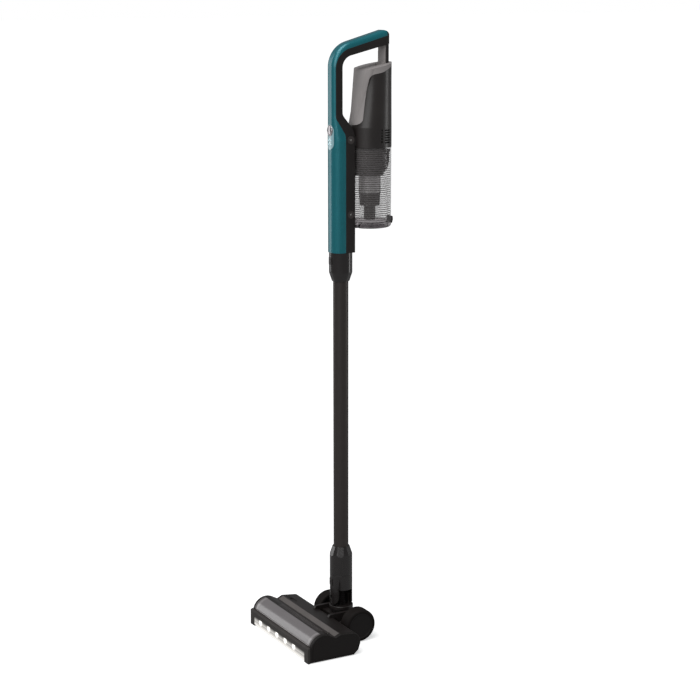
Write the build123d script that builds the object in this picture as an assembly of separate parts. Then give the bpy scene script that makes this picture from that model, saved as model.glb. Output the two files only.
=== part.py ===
"""Cordless stick vacuum, upright on its floor head.

Millimetres. +Z is up, -Y is the front (the side with the lights), +X is to the right seen from behind.
The origin is on the floor at the middle of the footprint. Each function makes one sub-part, or one
group of small pieces of a kind, and the table at the end writes each to its own file.
"""

from build123d import *
import math
import os

# ---------------------------------------------------------------- driving dimensions
STEM_Y = 13.7  # upright line of the wand, neck and boom socket
WAND_R, WAND_WALL = 14.0, 1.2
WAND_BOTTOM, WAND_TOP = 97.0, 720.0
FIT = 0.3  # gap between parts that slide past each other
RUN = 0.05  # radial clearance of a turning pin

COLLAR_R, RIM_R, CONE_H = 21.3, 16.0, 15.6  # faceted sockets at both ends of the wand
RIM_APOTHEM, FACET_TAPER = 15.2, 18.8
NECK_RIM, WINDOW_TOP = 170.6, 87.0
TILT_Z, TILT_R = 72.0, 16.0

HEAD_HALF, CAP_T = 120.0, 7.0
CAP_IN = HEAD_HALF - CAP_T
FLOOR_PLATE = 2.0  # underside of the head above the floor
HEAD_SPLIT = 21.0  # height where the base meets the top cover
BRUSH_Y, BRUSH_Z, BRUSH_R = -87.2, 23.4, 22.6
LOBE_R, CHAMBER_R, WALL = 27.2, 24.0, 2.0
WINDOW_LOW, WINDOW_HIGH = 163.5, 97.0  # window arc, degrees about the brush
BELT_IN = -102.0  # the belt runs between here and the left end cap
MOTOR_Y, MOTOR_Z = -38.0, 21.0
BRUSH_PULLEY_R, MOTOR_PULLEY_R = 11.5, 5.75
BUMPER_FRONT, BUMPER_BACK, BUMPER_LOW, LEG_W = -119.4, -114.6, 18.6, 15.0
LED_FIRST_X, LED_PITCH, LED_COUNT = -77.0, 34.3, 5

WHEEL_Y, WHEEL_R = 19.9, 30.7
WHEEL_IN, WHEEL_OUT = 42.0, 67.6
BARREL_R, BARREL_HALF, PIN_R = 16.0, 24.0, 4.0

BOOM_FRONT, BOOM_BACK = -8.0, 34.0
BOOM_BOTTOM, BOOM_HALF, BOOM_HALF_BACK = 727.8, 21.3, 19.8
GRIP_HALF, GRIP_BACK, GRIP_ROUND = 14.6, 10.1, 9.4
SHELL_T = 2.4
TAPER_LOW, TAPER_HIGH = 930.0, 975.0  # where the boom narrows into the grip
BAR_RISE = 0.2792  # slope of the handle bar
BEND_Z, BEND_R = 1094.5, 47.0  # outer corner of the loop
STRUT_IN, STRUT_OUT, STRUT_FOOT = 99.0, 105.2, 1060.0

CAN_Y, CAN_R = 73.8, 39.4  # canister
CUP_T, CUP_LOW, CUP_TOP = 2.0, 780.3, 915.2
LID_LOW, LID_T = 770.5, 9.5
HOUSING_LOW, HOUSING_T = 915.6, 2.4
FLAT_LOW, FLAT_SLOPE = 952.0, 0.1865  # the housing's front leans back from here up
TOP_Z, TOP_SLOPE = 1059.0, 0.215
HINGE_Y, HINGE_Z = CAN_Y - 34.0, 774.5
LATCH_Y, LATCH_Z = CAN_Y + 42.2, 784.5


# ---------------------------------------------------------------- helpers
def outline(*corners):
    """Closed face in a plane from (u, v, rounding) corners in order."""
    starts, mids, ends = [], [], []
    count = len(corners)
    for i, (u, v, radius) in enumerate(corners):
        here = Vector(u, v)
        back = (Vector(*corners[i - 1][:2]) - here).normalized()
        onward = (Vector(*corners[(i + 1) % count][:2]) - here).normalized()
        half = math.radians(back.get_angle(onward)) / 2
        run = radius / math.tan(half)
        starts.append(here + back * run)
        ends.append(here + onward * run)
        middle = (back + onward).normalized()
        mids.append(here + middle * (radius / math.sin(half) - radius))
    edges = []
    for i in range(count):
        if corners[i][2] > 0:
            edges.append(ThreePointArc(starts[i], mids[i], ends[i]))
        if (starts[(i + 1) % count] - ends[i]).length > 1e-6:
            edges.append(Line(ends[i], starts[(i + 1) % count]))
    return make_face(edges)


def across(face, low, high):
    """Extrude a (Y, Z) face along X from low to high."""
    return extrude(Plane.YZ.offset(low) * face, amount=high - low)


def through(face, low, high):
    """Extrude an (X, Z) face along Y from low to high."""
    plane = Plane(origin=(0, low, 0), x_dir=(1, 0, 0), z_dir=(0, -1, 0))
    return extrude(plane * face, amount=low - high)


def rise(face, low, high):
    """Extrude an (X, Y) face upwards from low to high."""
    return extrude(Plane.XY.offset(low) * face, amount=high - low)


def block(x0, x1, y0, y1, z0, z1):
    """Box between two corners."""
    return Pos(x0, y0, z0) * Box(x1 - x0, y1 - y0, z1 - z0, align=(Align.MIN,) * 3)


def rod_x(radius, x0, x1, y, z):
    """Cylinder along X."""
    rod = Cylinder(radius, x1 - x0, align=(Align.CENTER, Align.CENTER, Align.MIN))
    return Plane.YZ.offset(x0) * Pos(y, z) * rod


def rod_y(radius, y0, y1, x, z):
    """Cylinder along Y."""
    return through(Pos(x, z) * Circle(radius), y0, y1)


def rod_z(radius, z0, z1, y, x=0):
    """Upright cylinder."""
    return Pos(x, y, z0) * Cylinder(radius, z1 - z0, align=(Align.CENTER, Align.CENTER, Align.MIN))


def turned(y, *corners):
    """Solid turned about the upright axis at y, from (radius, height, rounding) corners."""
    return Pos(0, y, 0) * revolve(Plane.XZ * outline(*corners), Axis.Z)


def turned_x(y, z, *corners):
    """Solid turned about the X axis at y and z, from (x, radius, rounding) corners."""
    return Pos(0, y, z) * revolve(Plane.XZ * outline(*corners), Axis.X)


def both_sides(shape):
    """The shape and its mirror image across X = 0, as one group."""
    return Compound(children=[*shape.solids(), *mirror(shape, about=Plane.YZ).solids()])


def around_brush(radius, degrees):
    """(Y, Z) point on a circle about the brush axis."""
    angle = math.radians(degrees)
    return (BRUSH_Y + radius * math.cos(angle), BRUSH_Z + radius * math.sin(angle))


# ---------------------------------------------------------------- floor head
def head_profile(inset=0.0, low=1.0):
    """Side outline of the head without its bumper: brush lobe, notch, rear deck."""
    lobe = LOBE_R - inset
    edges = [
        Line((BRUSH_Y - lobe, low + inset), around_brush(lobe, 180)),
        ThreePointArc(around_brush(lobe, 180), around_brush(lobe, 120), around_brush(lobe, 62)),
    ]
    rear = [(-62.7, 41.1), (-51.9, 45.9), (-24.5, 42.7), (-16.0, 37.6), (-11.6, 29.0)]
    rear += [(-11.4, 20.0), (-15.2, 9.0), (-24.5, low)]
    shift = [(0.0, -1.05), (0.0, -1.1), (-0.45, -0.95), (-0.8, -0.7), (-1.0, -0.3)]
    shift += [(-1.0, 0.1), (-0.95, 0.4), (-0.5, 1.0)]
    points = [(y + dy * inset, z + dz * inset) for (y, z), (dy, dz) in zip(rear, shift)]
    edges.append(Line(around_brush(lobe, 62), points[0]))
    edges += [Line(a, b) for a, b in zip(points[:2], points[1:3])]
    edges.append(Spline(*points[2:6], tangents=[(1, -0.12), (-0.12, -1)]))
    edges.append(Line(points[5], points[6]))
    edges.append(Line(points[6], points[7]))
    edges.append(Line(points[7], (BRUSH_Y - lobe, low + inset)))
    return make_face(edges)


def brush_ring(outer, inner):
    """(Y, Z) ring about the brush axis."""
    return Pos(BRUSH_Y, BRUSH_Z) * (Circle(outer) - Circle(inner))


def brush_sector(outer, inner, high, low):
    """(Y, Z) part of a ring about the brush axis, from angle low to angle high in degrees."""
    edges = [
        ThreePointArc(*[around_brush(outer, a) for a in (low, (low + high) / 2, high)]),
        Line(around_brush(outer, high), around_brush(inner, high)),
        ThreePointArc(*[around_brush(inner, a) for a in (high, (low + high) / 2, low)]),
        Line(around_brush(inner, low), around_brush(outer, low)),
    ]
    return make_face(edges)


def side_box(y0, y1, z0, z1):
    """(Y, Z) rectangle."""
    return outline((y0, z0, 0), (y1, z0, 0), (y1, z1, 0), (y0, z1, 0))


def cover_zone():
    """(Y, Z) region of the head that belongs to the top cover."""
    near = around_brush(15, WINDOW_HIGH)
    far = around_brush(60, WINDOW_HIGH)
    return outline((near[0], HEAD_SPLIT, 0), (0, HEAD_SPLIT, 0), (0, 90, 0),
                   (far[0], far[1], 0), (near[0], near[1], 0))


def trim_face():
    """(Y, Z) section of the grey strip that lies on the slope behind the notch."""
    return outline((-62.4, 41.24, 0.3), (-51.9, 45.9, 0.6), (-51.2, 44.3, 0.2), (-61.6, 39.6, 0.2))


def duct_gap():
    """Space for the air duct through the chamber wall and the rear wall."""
    return block(-18.2, 18.2, -66, -2, 11.8, 33.2)


def head_screw_places():
    """(x, y) of the screws in the floor plate."""
    return [(x, y) for x in (-98.0, 98.0) for y in (-60.0, -24.0)]


def head_base():
    shell = head_profile(0, FLOOR_PLATE) - head_profile(WALL, FLOOR_PLATE)
    ring = brush_ring(CHAMBER_R + WALL, CHAMBER_R) & head_profile(0.3, FLOOR_PLATE)
    front = brush_sector(LOBE_R, CHAMBER_R, 186, WINDOW_LOW + 0.4)
    low_half = side_box(-130, 0, 0, HEAD_SPLIT)
    base = across(shell & low_half, -CAP_IN, CAP_IN) + across(front, -CAP_IN, CAP_IN)
    base += across(ring & low_half & side_box(BRUSH_Y + 4, 0, 0, 99), BELT_IN + 1, CAP_IN)
    base -= block(-106, 106, BRUSH_Y - 17, BRUSH_Y + 15, 0, 8)
    base -= duct_gap()
    for x, y in head_screw_places():
        base -= rod_z(1.6, 0, 6, y, x)
        base -= rod_z(3.2, 0, FLOOR_PLATE + 1, y, x)
    return base


def head_top_cover():
    shell = head_profile() - head_profile(WALL)
    ring = brush_ring(CHAMBER_R + WALL, CHAMBER_R) & side_box(BRUSH_Y, 0, HEAD_SPLIT, 90)
    cover = across((shell & cover_zone()) - trim_face(), -CAP_IN, CAP_IN)
    cover += across((ring & cover_zone()) - trim_face(), BELT_IN + 1, CAP_IN)
    cover -= duct_gap()
    cover -= block(-111, -74, -48, -40, 43.4, 50)
    return cover


def trim_strip():
    return across(trim_face(), -CAP_IN, CAP_IN)


def brush_window():
    return across(brush_sector(LOBE_R - 0.2, 25.2, WINDOW_LOW - 3.4, WINDOW_HIGH), -108.6, 108.6)


def window_frame():
    pane = brush_sector(LOBE_R - 0.2, 25.2, WINDOW_LOW - 3.4, WINDOW_HIGH)
    face = brush_sector(LOBE_R + 0.05, 25.0, WINDOW_LOW, WINDOW_HIGH)
    opening = brush_sector(LOBE_R + 1, 24, WINDOW_LOW - 3.4, WINDOW_HIGH - 1)
    return across(face, -CAP_IN, CAP_IN) - across(pane, -108.6, 108.6) - across(opening, -108.6, 108.6)


def end_cap_right():
    cap = across(head_profile(), CAP_IN, HEAD_HALF - 0.6)
    cap = chamfer(cap.faces().sort_by(Axis.X)[-1].edges(), 1.0)
    cap += across(head_profile(5.0), HEAD_HALF - 0.6, HEAD_HALF)
    seat = rod_x(11.5, CAP_IN - 3.4, CAP_IN, BRUSH_Y, BRUSH_Z)
    return cap + (seat - rod_x(9.0, CAP_IN - 4, CAP_IN, BRUSH_Y, BRUSH_Z))


def end_cap_left():
    return mirror(end_cap_right(), about=Plane.YZ)


def front_bumper():
    bar = outline((BUMPER_FRONT, BUMPER_LOW, 0.8), (BUMPER_FRONT, 28.6, 1.5),
                  (BUMPER_BACK, 31.0, 0.5), (BUMPER_BACK, BUMPER_LOW, 0))
    leg = outline((BUMPER_FRONT, 0, 0.6), (BUMPER_FRONT, 24, 0),
                  (BUMPER_BACK, 24, 0), (BUMPER_BACK, 0, 0.6))
    half = HEAD_HALF - 1.5
    bumper = across(bar, -half, half)
    bumper += across(leg, half - LEG_W, half) + across(leg, -half, LEG_W - half)
    return bumper


def led_lens():
    half = HEAD_HALF - 1.5 - LEG_W - 0.3
    face = outline((-118.6, 11.0, 0.5), (-118.6, 18.5, 0), (-117.0, 18.5, 0), (-117.0, 11.0, 0.5))
    return across(face, -half, half)


def led_board():
    board = block(-98, 98, -115.6, -114.7, 11.2, 18.4)
    for i in range(LED_COUNT):
        x = LED_FIRST_X + LED_PITCH * i
        board += block(x - 1.8, x + 1.8, -116.6, -115.5, 13.2, 16.4)
    return board


def brush_bearings():
    ring = rod_x(8.95, CAP_IN - 3.2, CAP_IN - 0.1, BRUSH_Y, BRUSH_Z)
    ring -= rod_x(PIN_R + RUN, CAP_IN - 4, CAP_IN, BRUSH_Y, BRUSH_Z)
    return both_sides(ring)


def brush_motor():
    can = rod_x(12.0, -97, -44, MOTOR_Y, MOTOR_Z)
    nose = rod_x(4.0, -99.5, -97, MOTOR_Y, MOTOR_Z) - rod_x(1.5 + RUN, -100, -97, MOTOR_Y, MOTOR_Z)
    return can - rod_x(1.5 + RUN, -97.5, -90, MOTOR_Y, MOTOR_Z) + nose


def belt_loop(r_brush, r_motor):
    """(Y, Z) outline that wraps two circles, one about the brush and one about the motor."""
    run = math.hypot(MOTOR_Y - BRUSH_Y, MOTOR_Z - BRUSH_Z)
    heading = math.atan2(MOTOR_Z - BRUSH_Z, MOTOR_Y - BRUSH_Y)
    lean = math.acos((r_brush - r_motor) / run)

    def on_brush(angle):
        return (BRUSH_Y + r_brush * math.cos(angle), BRUSH_Z + r_brush * math.sin(angle))

    def on_motor(angle):
        return (MOTOR_Y + r_motor * math.cos(angle), MOTOR_Z + r_motor * math.sin(angle))

    high, low = heading + lean, heading - lean
    return make_face([
        Line(on_brush(high), on_motor(high)),
        ThreePointArc(on_motor(high), on_motor(heading), on_motor(low)),
        Line(on_motor(low), on_brush(low)),
        ThreePointArc(on_brush(low), on_brush(heading + math.pi), on_brush(high)),
    ])


def drive_belt():
    outer = belt_loop(BRUSH_PULLEY_R + 1.5, MOTOR_PULLEY_R + 1.5)
    inner = belt_loop(BRUSH_PULLEY_R + 0.15, MOTOR_PULLEY_R + 0.15)
    return across(outer - inner, -108.0, -104.0)


def air_duct():
    duct = block(-18, 18, -61.0, -12.2, 12, 33) - block(-16.4, 16.4, -62, -10, 13.6, 31.4)
    return duct - across(brush_ring(CHAMBER_R + WALL + 0.05, 1), -20, 20)


def glide_pads():
    pad = block(84, 96, -44, -30, 0, FLOOR_PLATE)
    return both_sides(fillet(pad.edges().filter_by(Axis.Z), 3))


def head_screws():
    screws = []
    for x, y in head_screw_places():
        shank = rod_z(1.5, FLOOR_PLATE + 1, FLOOR_PLATE + 8, y, x)
        screw = shank + rod_z(3.0, FLOOR_PLATE - 0.4, FLOOR_PLATE + 1, y, x)
        screws += screw.solids()
    return Compound(children=screws)


def carriage():
    arm = outline((-30, 43.0, 1), (-27, 48.8, 2.5), (12, 49.2, 5), (30, 42, 8),
                  (38, 26, 10), (28, 12, 8), (-14, 12, 4), (-14, 40, 3))
    frame = across(arm, 24.6, 31.0)
    frame += rod_x(15.0, 31.0, 40.5, WHEEL_Y, WHEEL_R)
    frame += rod_x(9.0, 31.0, 38.0, -2.0, 24.0)
    frame += mirror(frame, about=Plane.YZ)
    frame += block(-24.7, 24.7, -12, 6, 12.5, 41)
    frame -= rod_x(22.6, -24.6, 24.6, WHEEL_Y, WHEEL_R)
    frame -= across(head_profile(-0.06), -60, 60)
    frame -= block(-18.3, 18.3, -20, -12, 11.7, 33.3)
    frame -= block(-16.4, 16.4, -20, 10, 13.6, 31.4)
    frame -= rod_x(PIN_R, -60, 60, WHEEL_Y, WHEEL_R)
    return frame


def axle_pins():
    return both_sides(rod_x(PIN_R, 21.0, WHEEL_OUT - 5.0, WHEEL_Y, WHEEL_R))


def release_slider():
    plate = block(-109.5, -95.5, -46.8, -41.2, 43.5, 45.0)
    for x in (-106.5, -104.0, -101.5, -99.0):
        plate += block(x, x + 1.0, -46.2, -41.8, 45.0, 45.5)
    return plate


# ---------------------------------------------------------------- brush drive
def brush_axle():
    return rod_x(PIN_R, -112.6, 112.6, BRUSH_Y, BRUSH_Z)


def brush_core():
    core = rod_x(13.0, -99.5, 107, BRUSH_Y, BRUSH_Z) + rod_x(9.0, -104, -99, BRUSH_Y, BRUSH_Z)
    core += toothed_disc(BRUSH_PULLEY_R, 24, -108.4, -103.6, BRUSH_Y, BRUSH_Z)
    return core - brush_axle()


def brush_pile():
    sleeve = rod_x(BRUSH_R - 1.2, -98.5, 106, BRUSH_Y, BRUSH_Z)
    return sleeve - rod_x(13.0, -99, 107, BRUSH_Y, BRUSH_Z) - helix_bars(1.15)


def helix_bars(grow=1.0):
    """Two rows of bristle bars that wind from both ends towards the middle."""
    bars = []
    half, wind = 50.0, 70.0
    for start in (0.0, 180.0):
        for side in (-1, 1):
            face = Pos(0, BRUSH_R - 3.6) * Rectangle(3.0 * grow, 7.2)
            run = Solid.extrude_linear_with_rotation(
                (Plane.XY * face).face().outer_wire(), (0, 0, 0), (0, 0, 2 * half), side * wind)
            middle = Plane(origin=(3.75, BRUSH_Y, BRUSH_Z), x_dir=(0, 1, 0), z_dir=(side, 0, 0))
            bars.append(middle * Rot(0, 0, side * start) * run)
    result = bars[0]
    for bar in bars[1:]:
        result += bar
    return result


def bristle_strips():
    return helix_bars() - rod_x(13.05, -120, 120, BRUSH_Y, BRUSH_Z)


def toothed_disc(radius, teeth, x0, x1, y, z):
    """Toothed pulley along X."""
    face = Pos(y, z) * Circle(radius)
    for i in range(teeth):
        angle = 2 * math.pi * i / teeth
        face -= Pos(y + radius * math.cos(angle), z + radius * math.sin(angle)) * Circle(0.7)
    return across(face, x0, x1)


def motor_pulley():
    pulley = toothed_disc(MOTOR_PULLEY_R, 12, -108.4, -103.6, MOTOR_Y, MOTOR_Z)
    return pulley + rod_x(1.5, -108.4, -91, MOTOR_Y, MOTOR_Z)


# ---------------------------------------------------------------- wheels
def wheel_rim():
    hub = [(44.0, PIN_R + RUN, 0.3), (44.0, 8.0, 0.5), (60.0, 8.0, 1), (60.0, 23.0, 1)]
    ring = [(44.0, 24.0, 0.5), (44.0, 27.0, 0), (67.0, 27.0, 0), (67.0, 23.0, 0.4)]
    face = [(66.4, 22.4, 0), (66.4, 0.01, 0), (WHEEL_OUT - 4.5, 0.01, 0), (WHEEL_OUT - 4.5, PIN_R + RUN, 0)]
    return turned_x(WHEEL_Y, WHEEL_R, *hub, *ring, *face)


def wheel_tyre():
    return turned_x(WHEEL_Y, WHEEL_R,
                    (WHEEL_IN, 27.0, 0), (WHEEL_IN, WHEEL_R, 2.0), (WHEEL_OUT, WHEEL_R, 5.0),
                    (WHEEL_OUT, 24.5, 0.4), (67.0, 24.5, 0), (67.0, 27.0, 0))


# ---------------------------------------------------------------- elbow and neck
def elbow():
    body = rod_x(BARREL_R, -BARREL_HALF, BARREL_HALF, WHEEL_Y, WHEEL_R)
    body += rod_z(17.0, WHEEL_R, 48.0, STEM_Y + 1.8)
    body += turned(STEM_Y, (0, 46.5, 0), (21.0, 46.5, 1.5), (22.5, 49.0, 1), (22.5, 55.4, 1.2), (0, 55.4, 0))
    ear = outline((-8, 50, 0), (-8, TILT_Z + 8, 7.9), (8, TILT_Z + 8, 7.9), (8, 50, 0))
    for low, high in ((-13.0, -10.4), (10.4, 13.0)):
        body += through(ear, STEM_Y + low, STEM_Y + high)
        body += rod_y(3.5, *sorted((STEM_Y + (low + high) / 2, STEM_Y + math.copysign(18.5, low))), 0, TILT_Z)
    body -= rod_x(12.5, -21.5, 21.5, WHEEL_Y, WHEEL_R)
    body -= rod_z(9.9, WHEEL_R, 60, STEM_Y)
    body -= block(-9, 9, -10, WHEEL_Y - 5, 17, 41)
    body -= rod_x(PIN_R + RUN, -30, 30, WHEEL_Y, WHEEL_R)
    return body


def flex_hose():
    """Ribbed hose between the elbow and the neck."""
    ribs, pitch, low = 8, 4.0, 50.0
    corners = [(8.0, low, 0), (8.6, low, 0)]
    for i in range(ribs):
        z = low + pitch * i
        corners += [(8.6, z + 0.8, 0), (9.8, z + 1.4, 0.3), (9.8, z + 2.8, 0.3), (8.6, z + 3.4, 0)]
    corners += [(8.6, 86.0, 0), (8.0, 86.0, 0)]
    return turned(STEM_Y, *corners)


def faceted_collar(length):
    """Round socket with six flats cut on its tapered rim; the rim is at z = 0 and it hangs down."""
    body = turned(0, (0, -length, 0), (COLLAR_R, -length, 0), (COLLAR_R, -CONE_H, 2.0),
                  (RIM_R, 0, 0.6), (0, 0, 0))
    reach = 40.0
    apothem = RIM_APOTHEM + reach * math.tan(math.radians(FACET_TAPER))
    hexagon = RegularPolygon(apothem, 6, major_radius=False)
    flats = extrude(Plane.XY.offset(-reach) * hexagon, amount=reach + 0.5, taper=FACET_TAPER)
    return (body & flats) + (body & block(-30, 30, -30, 30, -length, -reach))


def neck_socket():
    neck = Pos(0, STEM_Y, NECK_RIM) * faceted_collar(NECK_RIM - 55.0)
    neck -= rod_z(WAND_R + FIT, WAND_BOTTOM, 180, STEM_Y)
    neck -= rod_z(10.2, 80, 100, STEM_Y)
    neck -= block(-30, 30, STEM_Y - 13.3, STEM_Y + 13.3, 50, WINDOW_TOP)
    cheeks = rod_y(TILT_R, -30, 60, 0, TILT_Z) + block(-16.6, 16.6, -30, 60, TILT_Z, WINDOW_TOP)
    neck -= block(-40, 40, -20, 50, 20, WINDOW_TOP) - cheeks
    neck -= rod_y(3.5 + RUN, -20, 50, 0, TILT_Z)
    slit_ring = rod_z(30, 80, 112, STEM_Y) - rod_z(COLLAR_R - 1.8, 80, 112, STEM_Y)
    wedge = outline((15.0, WINDOW_TOP - 1, 0), (17.3, 110.0, 0), (18.6, WINDOW_TOP - 1, 0))
    slit = through(wedge, -20, STEM_Y - 4)
    neck -= (slit + mirror(slit, about=Plane.YZ)) & slit_ring
    seam = rod_z(30, 116.2, 116.8, STEM_Y) - rod_z(COLLAR_R - 0.5, 116, 117, STEM_Y)
    neck -= seam
    return neck - button_well(95.3, 109.0)


def button_well(low, high):
    """Rectangular well in the front of a socket for its release button."""
    return block(-5.3, 5.3, STEM_Y - 30, STEM_Y - WAND_R - 1.2, low, high)


def release_button(low, high):
    """Ribbed push button; its inner end stops short of the wand."""
    cap = block(-5.0, 5.0, STEM_Y - COLLAR_R - 1.1, STEM_Y - WAND_R - 2.6, low + 0.3, high - 0.3)
    cap = fillet(cap.faces().sort_by(Axis.Y)[0].edges(), 0.8)
    for share in (0.3, 0.5, 0.7):
        z = low + share * (high - low)
        cap -= block(-3.6, 3.6, -30, STEM_Y - COLLAR_R - 0.6, z - 0.4, z + 0.4)
    return cap


def neck_button():
    return release_button(95.3, 109.0)


# ---------------------------------------------------------------- wand
def wand_tube():
    tube = rod_z(WAND_R, WAND_BOTTOM + 0.3, WAND_TOP, STEM_Y) - rod_z(WAND_R - WAND_WALL, 90, 730, STEM_Y)
    for z in (102.0, 712.5):
        tube -= block(-3, 3, STEM_Y - 20, STEM_Y - 10, z - 3, z + 3)
    return tube


def wand_end_rings():
    rings = []
    for low, high in ((106.5, 124.0), (690.0, 707.0)):
        ring = rod_z(WAND_R - WAND_WALL - RUN, low, high, STEM_Y) - rod_z(11.4, low - 1, high + 1, STEM_Y)
        rings += ring.solids()
    return Compound(children=rings)


def wand_wiring():
    wires = []
    for x in (-1.4, 1.4):
        wires += rod_z(1.0, 124.2, 689.8, STEM_Y + 10.4, x).solids()
    return Compound(children=wires)


# ---------------------------------------------------------------- boom and handle loop
def boom_section(half, half_back, round_front, inset):
    """(X, Y) section of the boom: rounded front, flatter back."""
    front, back, edge = BOOM_FRONT + inset, BOOM_BACK - inset, max(round_front - inset, 1)
    return outline((-half + inset, front, edge), (half - inset, front, edge),
                   (half_back - inset, back, 3.0 - inset / 2), (-half_back + inset, back, 3.0 - inset / 2))


def loop_path(depth):
    """Line along the front of the boom, round the bend and up the bar, set back by depth."""
    radius = BEND_R - depth
    lean = math.atan(BAR_RISE)
    corner_y = BOOM_FRONT + depth
    corner_z = BEND_Z + depth * BAR_RISE - depth / math.cos(lean)
    run = radius * math.tan((math.pi / 2 - lean) / 2)
    start = Vector(0, corner_y, TAPER_HIGH)
    turn_in = Vector(0, corner_y, corner_z - run)
    turn_out = Vector(0, corner_y + run * math.cos(lean), corner_z + run * math.sin(lean))
    centre = Vector(0, corner_y + radius, corner_z - run)
    half_way = (math.pi + math.pi / 2 + lean) / 2
    middle = centre + Vector(0, math.cos(half_way), math.sin(half_way)) * radius
    return start, turn_in, middle, turn_out, lean


def loop_run(section, depth, reach):
    """Sweep an (X, Y) section along the loop, up to reach in Y."""
    start, turn_in, middle, turn_out, lean = loop_path(depth)
    length = (reach - turn_out.Y) / math.cos(lean)
    end = turn_out + Vector(0, math.cos(lean), math.sin(lean)) * length
    path = Wire([Edge.make_line(start, turn_in), Edge.make_three_point_arc(turn_in, middle, turn_out),
                 Edge.make_line(turn_out, end)])
    return sweep(Plane.XY.offset(TAPER_HIGH) * section, path=path)


def loop_side():
    """(Y, Z) side outline of the boom and bar, with the S-curve at the back."""
    bar_back = BEND_Z + (STRUT_OUT - BOOM_FRONT) * BAR_RISE
    under = 1079.3 + (STRUT_OUT - 25.6) * 0.2416
    return outline((BOOM_FRONT - 1, BOOM_BOTTOM, 0), (BOOM_FRONT - 1, BEND_Z + 20, 0), (60, 1160, 0),
                   (80, bar_back + 30, 0), (STRUT_OUT, bar_back + 30, 0), (STRUT_OUT, under, 0),
                   (GRIP_BACK, 1075.6, 22), (GRIP_BACK, 975.5, 14), (29.0, 951.0, 16), (BOOM_BACK, 937.0, 10),
                   (BOOM_BACK, BOOM_BOTTOM, 0))


def tip_zone():
    """(Y, Z) region that rounds the rear top corner of the bar."""
    bar_back = BEND_Z + (STRUT_OUT - BOOM_FRONT) * BAR_RISE
    return outline((-20, 700, 0), (-20, BEND_Z - 3.35, 0), (STRUT_OUT, bar_back, 9.4), (STRUT_OUT, 700, 0))


def boom_solid():
    """Outer form of the boom, the grip, the bar and the strut in one."""
    low = boom_section(BOOM_HALF, BOOM_HALF_BACK, 17.0, 0)
    high = boom_section(GRIP_HALF, GRIP_HALF, GRIP_ROUND, 0)
    body = rise(low, BOOM_BOTTOM, TAPER_LOW)
    body += loft([Plane.XY.offset(TAPER_LOW) * low, Plane.XY.offset(TAPER_HIGH) * high])
    body += loop_run(high, 0, STRUT_OUT + 12)
    body &= across(loop_side(), -30, 30)
    foot = rise(outline((-GRIP_HALF, STRUT_IN, 1.2), (GRIP_HALF, STRUT_IN, 1.2), (GRIP_HALF, STRUT_OUT, 2),
                        (-GRIP_HALF, STRUT_OUT, 2)), STRUT_FOOT, 1102)
    body += foot
    return body & across(tip_zone(), -30, 30)


def boom_cavity():
    """Hollow inside the boom, grip and bar."""
    low = boom_section(BOOM_HALF, BOOM_HALF_BACK, 17.0, SHELL_T)
    room = rise(low, BOOM_BOTTOM - 1, 926.0)
    front = BOOM_FRONT + SHELL_T
    neck_in = outline((-11.5, front, 4), (11.5, front, 4), (11.5, 7.2, 2), (-11.5, 7.2, 2))
    wide_in = outline((-16.5, front, 9), (16.5, front, 9), (16.5, 22.0, 2), (-16.5, 22.0, 2))
    room += loft([Plane.XY.offset(925.0) * wide_in, Plane.XY.offset(TAPER_HIGH) * neck_in])
    room += loop_run(neck_in, SHELL_T, 93.0)
    return room


def teal_zone():
    """(Y, Z) region of the outer, coloured shell."""
    seam_rise = 0.2727
    seam_z = 1089.6 - (15.5 + 2.9) * seam_rise
    end = STRUT_OUT - 3.4
    return outline((STEM_Y, 700, 0), (STEM_Y, 940, 12), (-2.9, 968.5, 12), (-2.9, seam_z, 36),
                   (end, 1089.6 + (end - 15.5) * seam_rise, 0), (end, 1170, 0), (-40, 1170, 0), (-40, 700, 0))


def lens_face(grow=0.0):
    """(X, Z) outline of the display lens: a pill that also rings the power button."""
    return Pos(0, 936.0) * SlotOverall(45.0 + 2 * grow, 22.8 + 2 * grow, rotation=90)


def button_face(grow=0.0):
    """(X, Z) outline of the power button."""
    return Pos(0, 947.6) * Ellipse(9.3 + grow, 9.6 + grow)


def front_shell():
    shell = (boom_solid() - boom_cavity()) & across(teal_zone(), -30, 30)
    shell -= through(lens_face(0.1), -20, 4) & lens_skin(0.5)
    return shell - through(button_face(0.3), -20, 4)


def tapered_boom(inset):
    """Boom where it narrows into the grip, with its surface set in by inset."""
    low = boom_section(BOOM_HALF, BOOM_HALF_BACK, 17.0, inset)
    high = boom_section(GRIP_HALF, GRIP_HALF, GRIP_ROUND, inset)
    taper = loft([Plane.XY.offset(TAPER_LOW) * low, Plane.XY.offset(TAPER_HIGH) * high])
    return rise(low, 900, TAPER_LOW) + taper


def lens_skin(proud):
    """Layer on the front of the boom that holds the lens."""
    return (tapered_boom(-proud) - tapered_boom(1.2)) & block(-30, 30, -30, 6, 900, 970)


def display_lens():
    lens = through(lens_face(), -20, 4) & lens_skin(0.25)
    return lens - through(button_face(0.3), -20, 4)


def plug_places():
    """(y, z) of the two screw plugs in the side of the spine."""
    return [(24.2, 797.0), (24.2, 931.0)]


def rear_shell():
    shell = (boom_solid() - boom_cavity()) - across(teal_zone(), -30, 30)
    shell -= housing_form(0)
    shell -= block(-10.2, 10.2, 28, 40, 867.8, 900.2)
    for y, z in plug_places():
        shell -= rod_x(7.2, 18.6, 30, y, z)
    return shell


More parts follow.
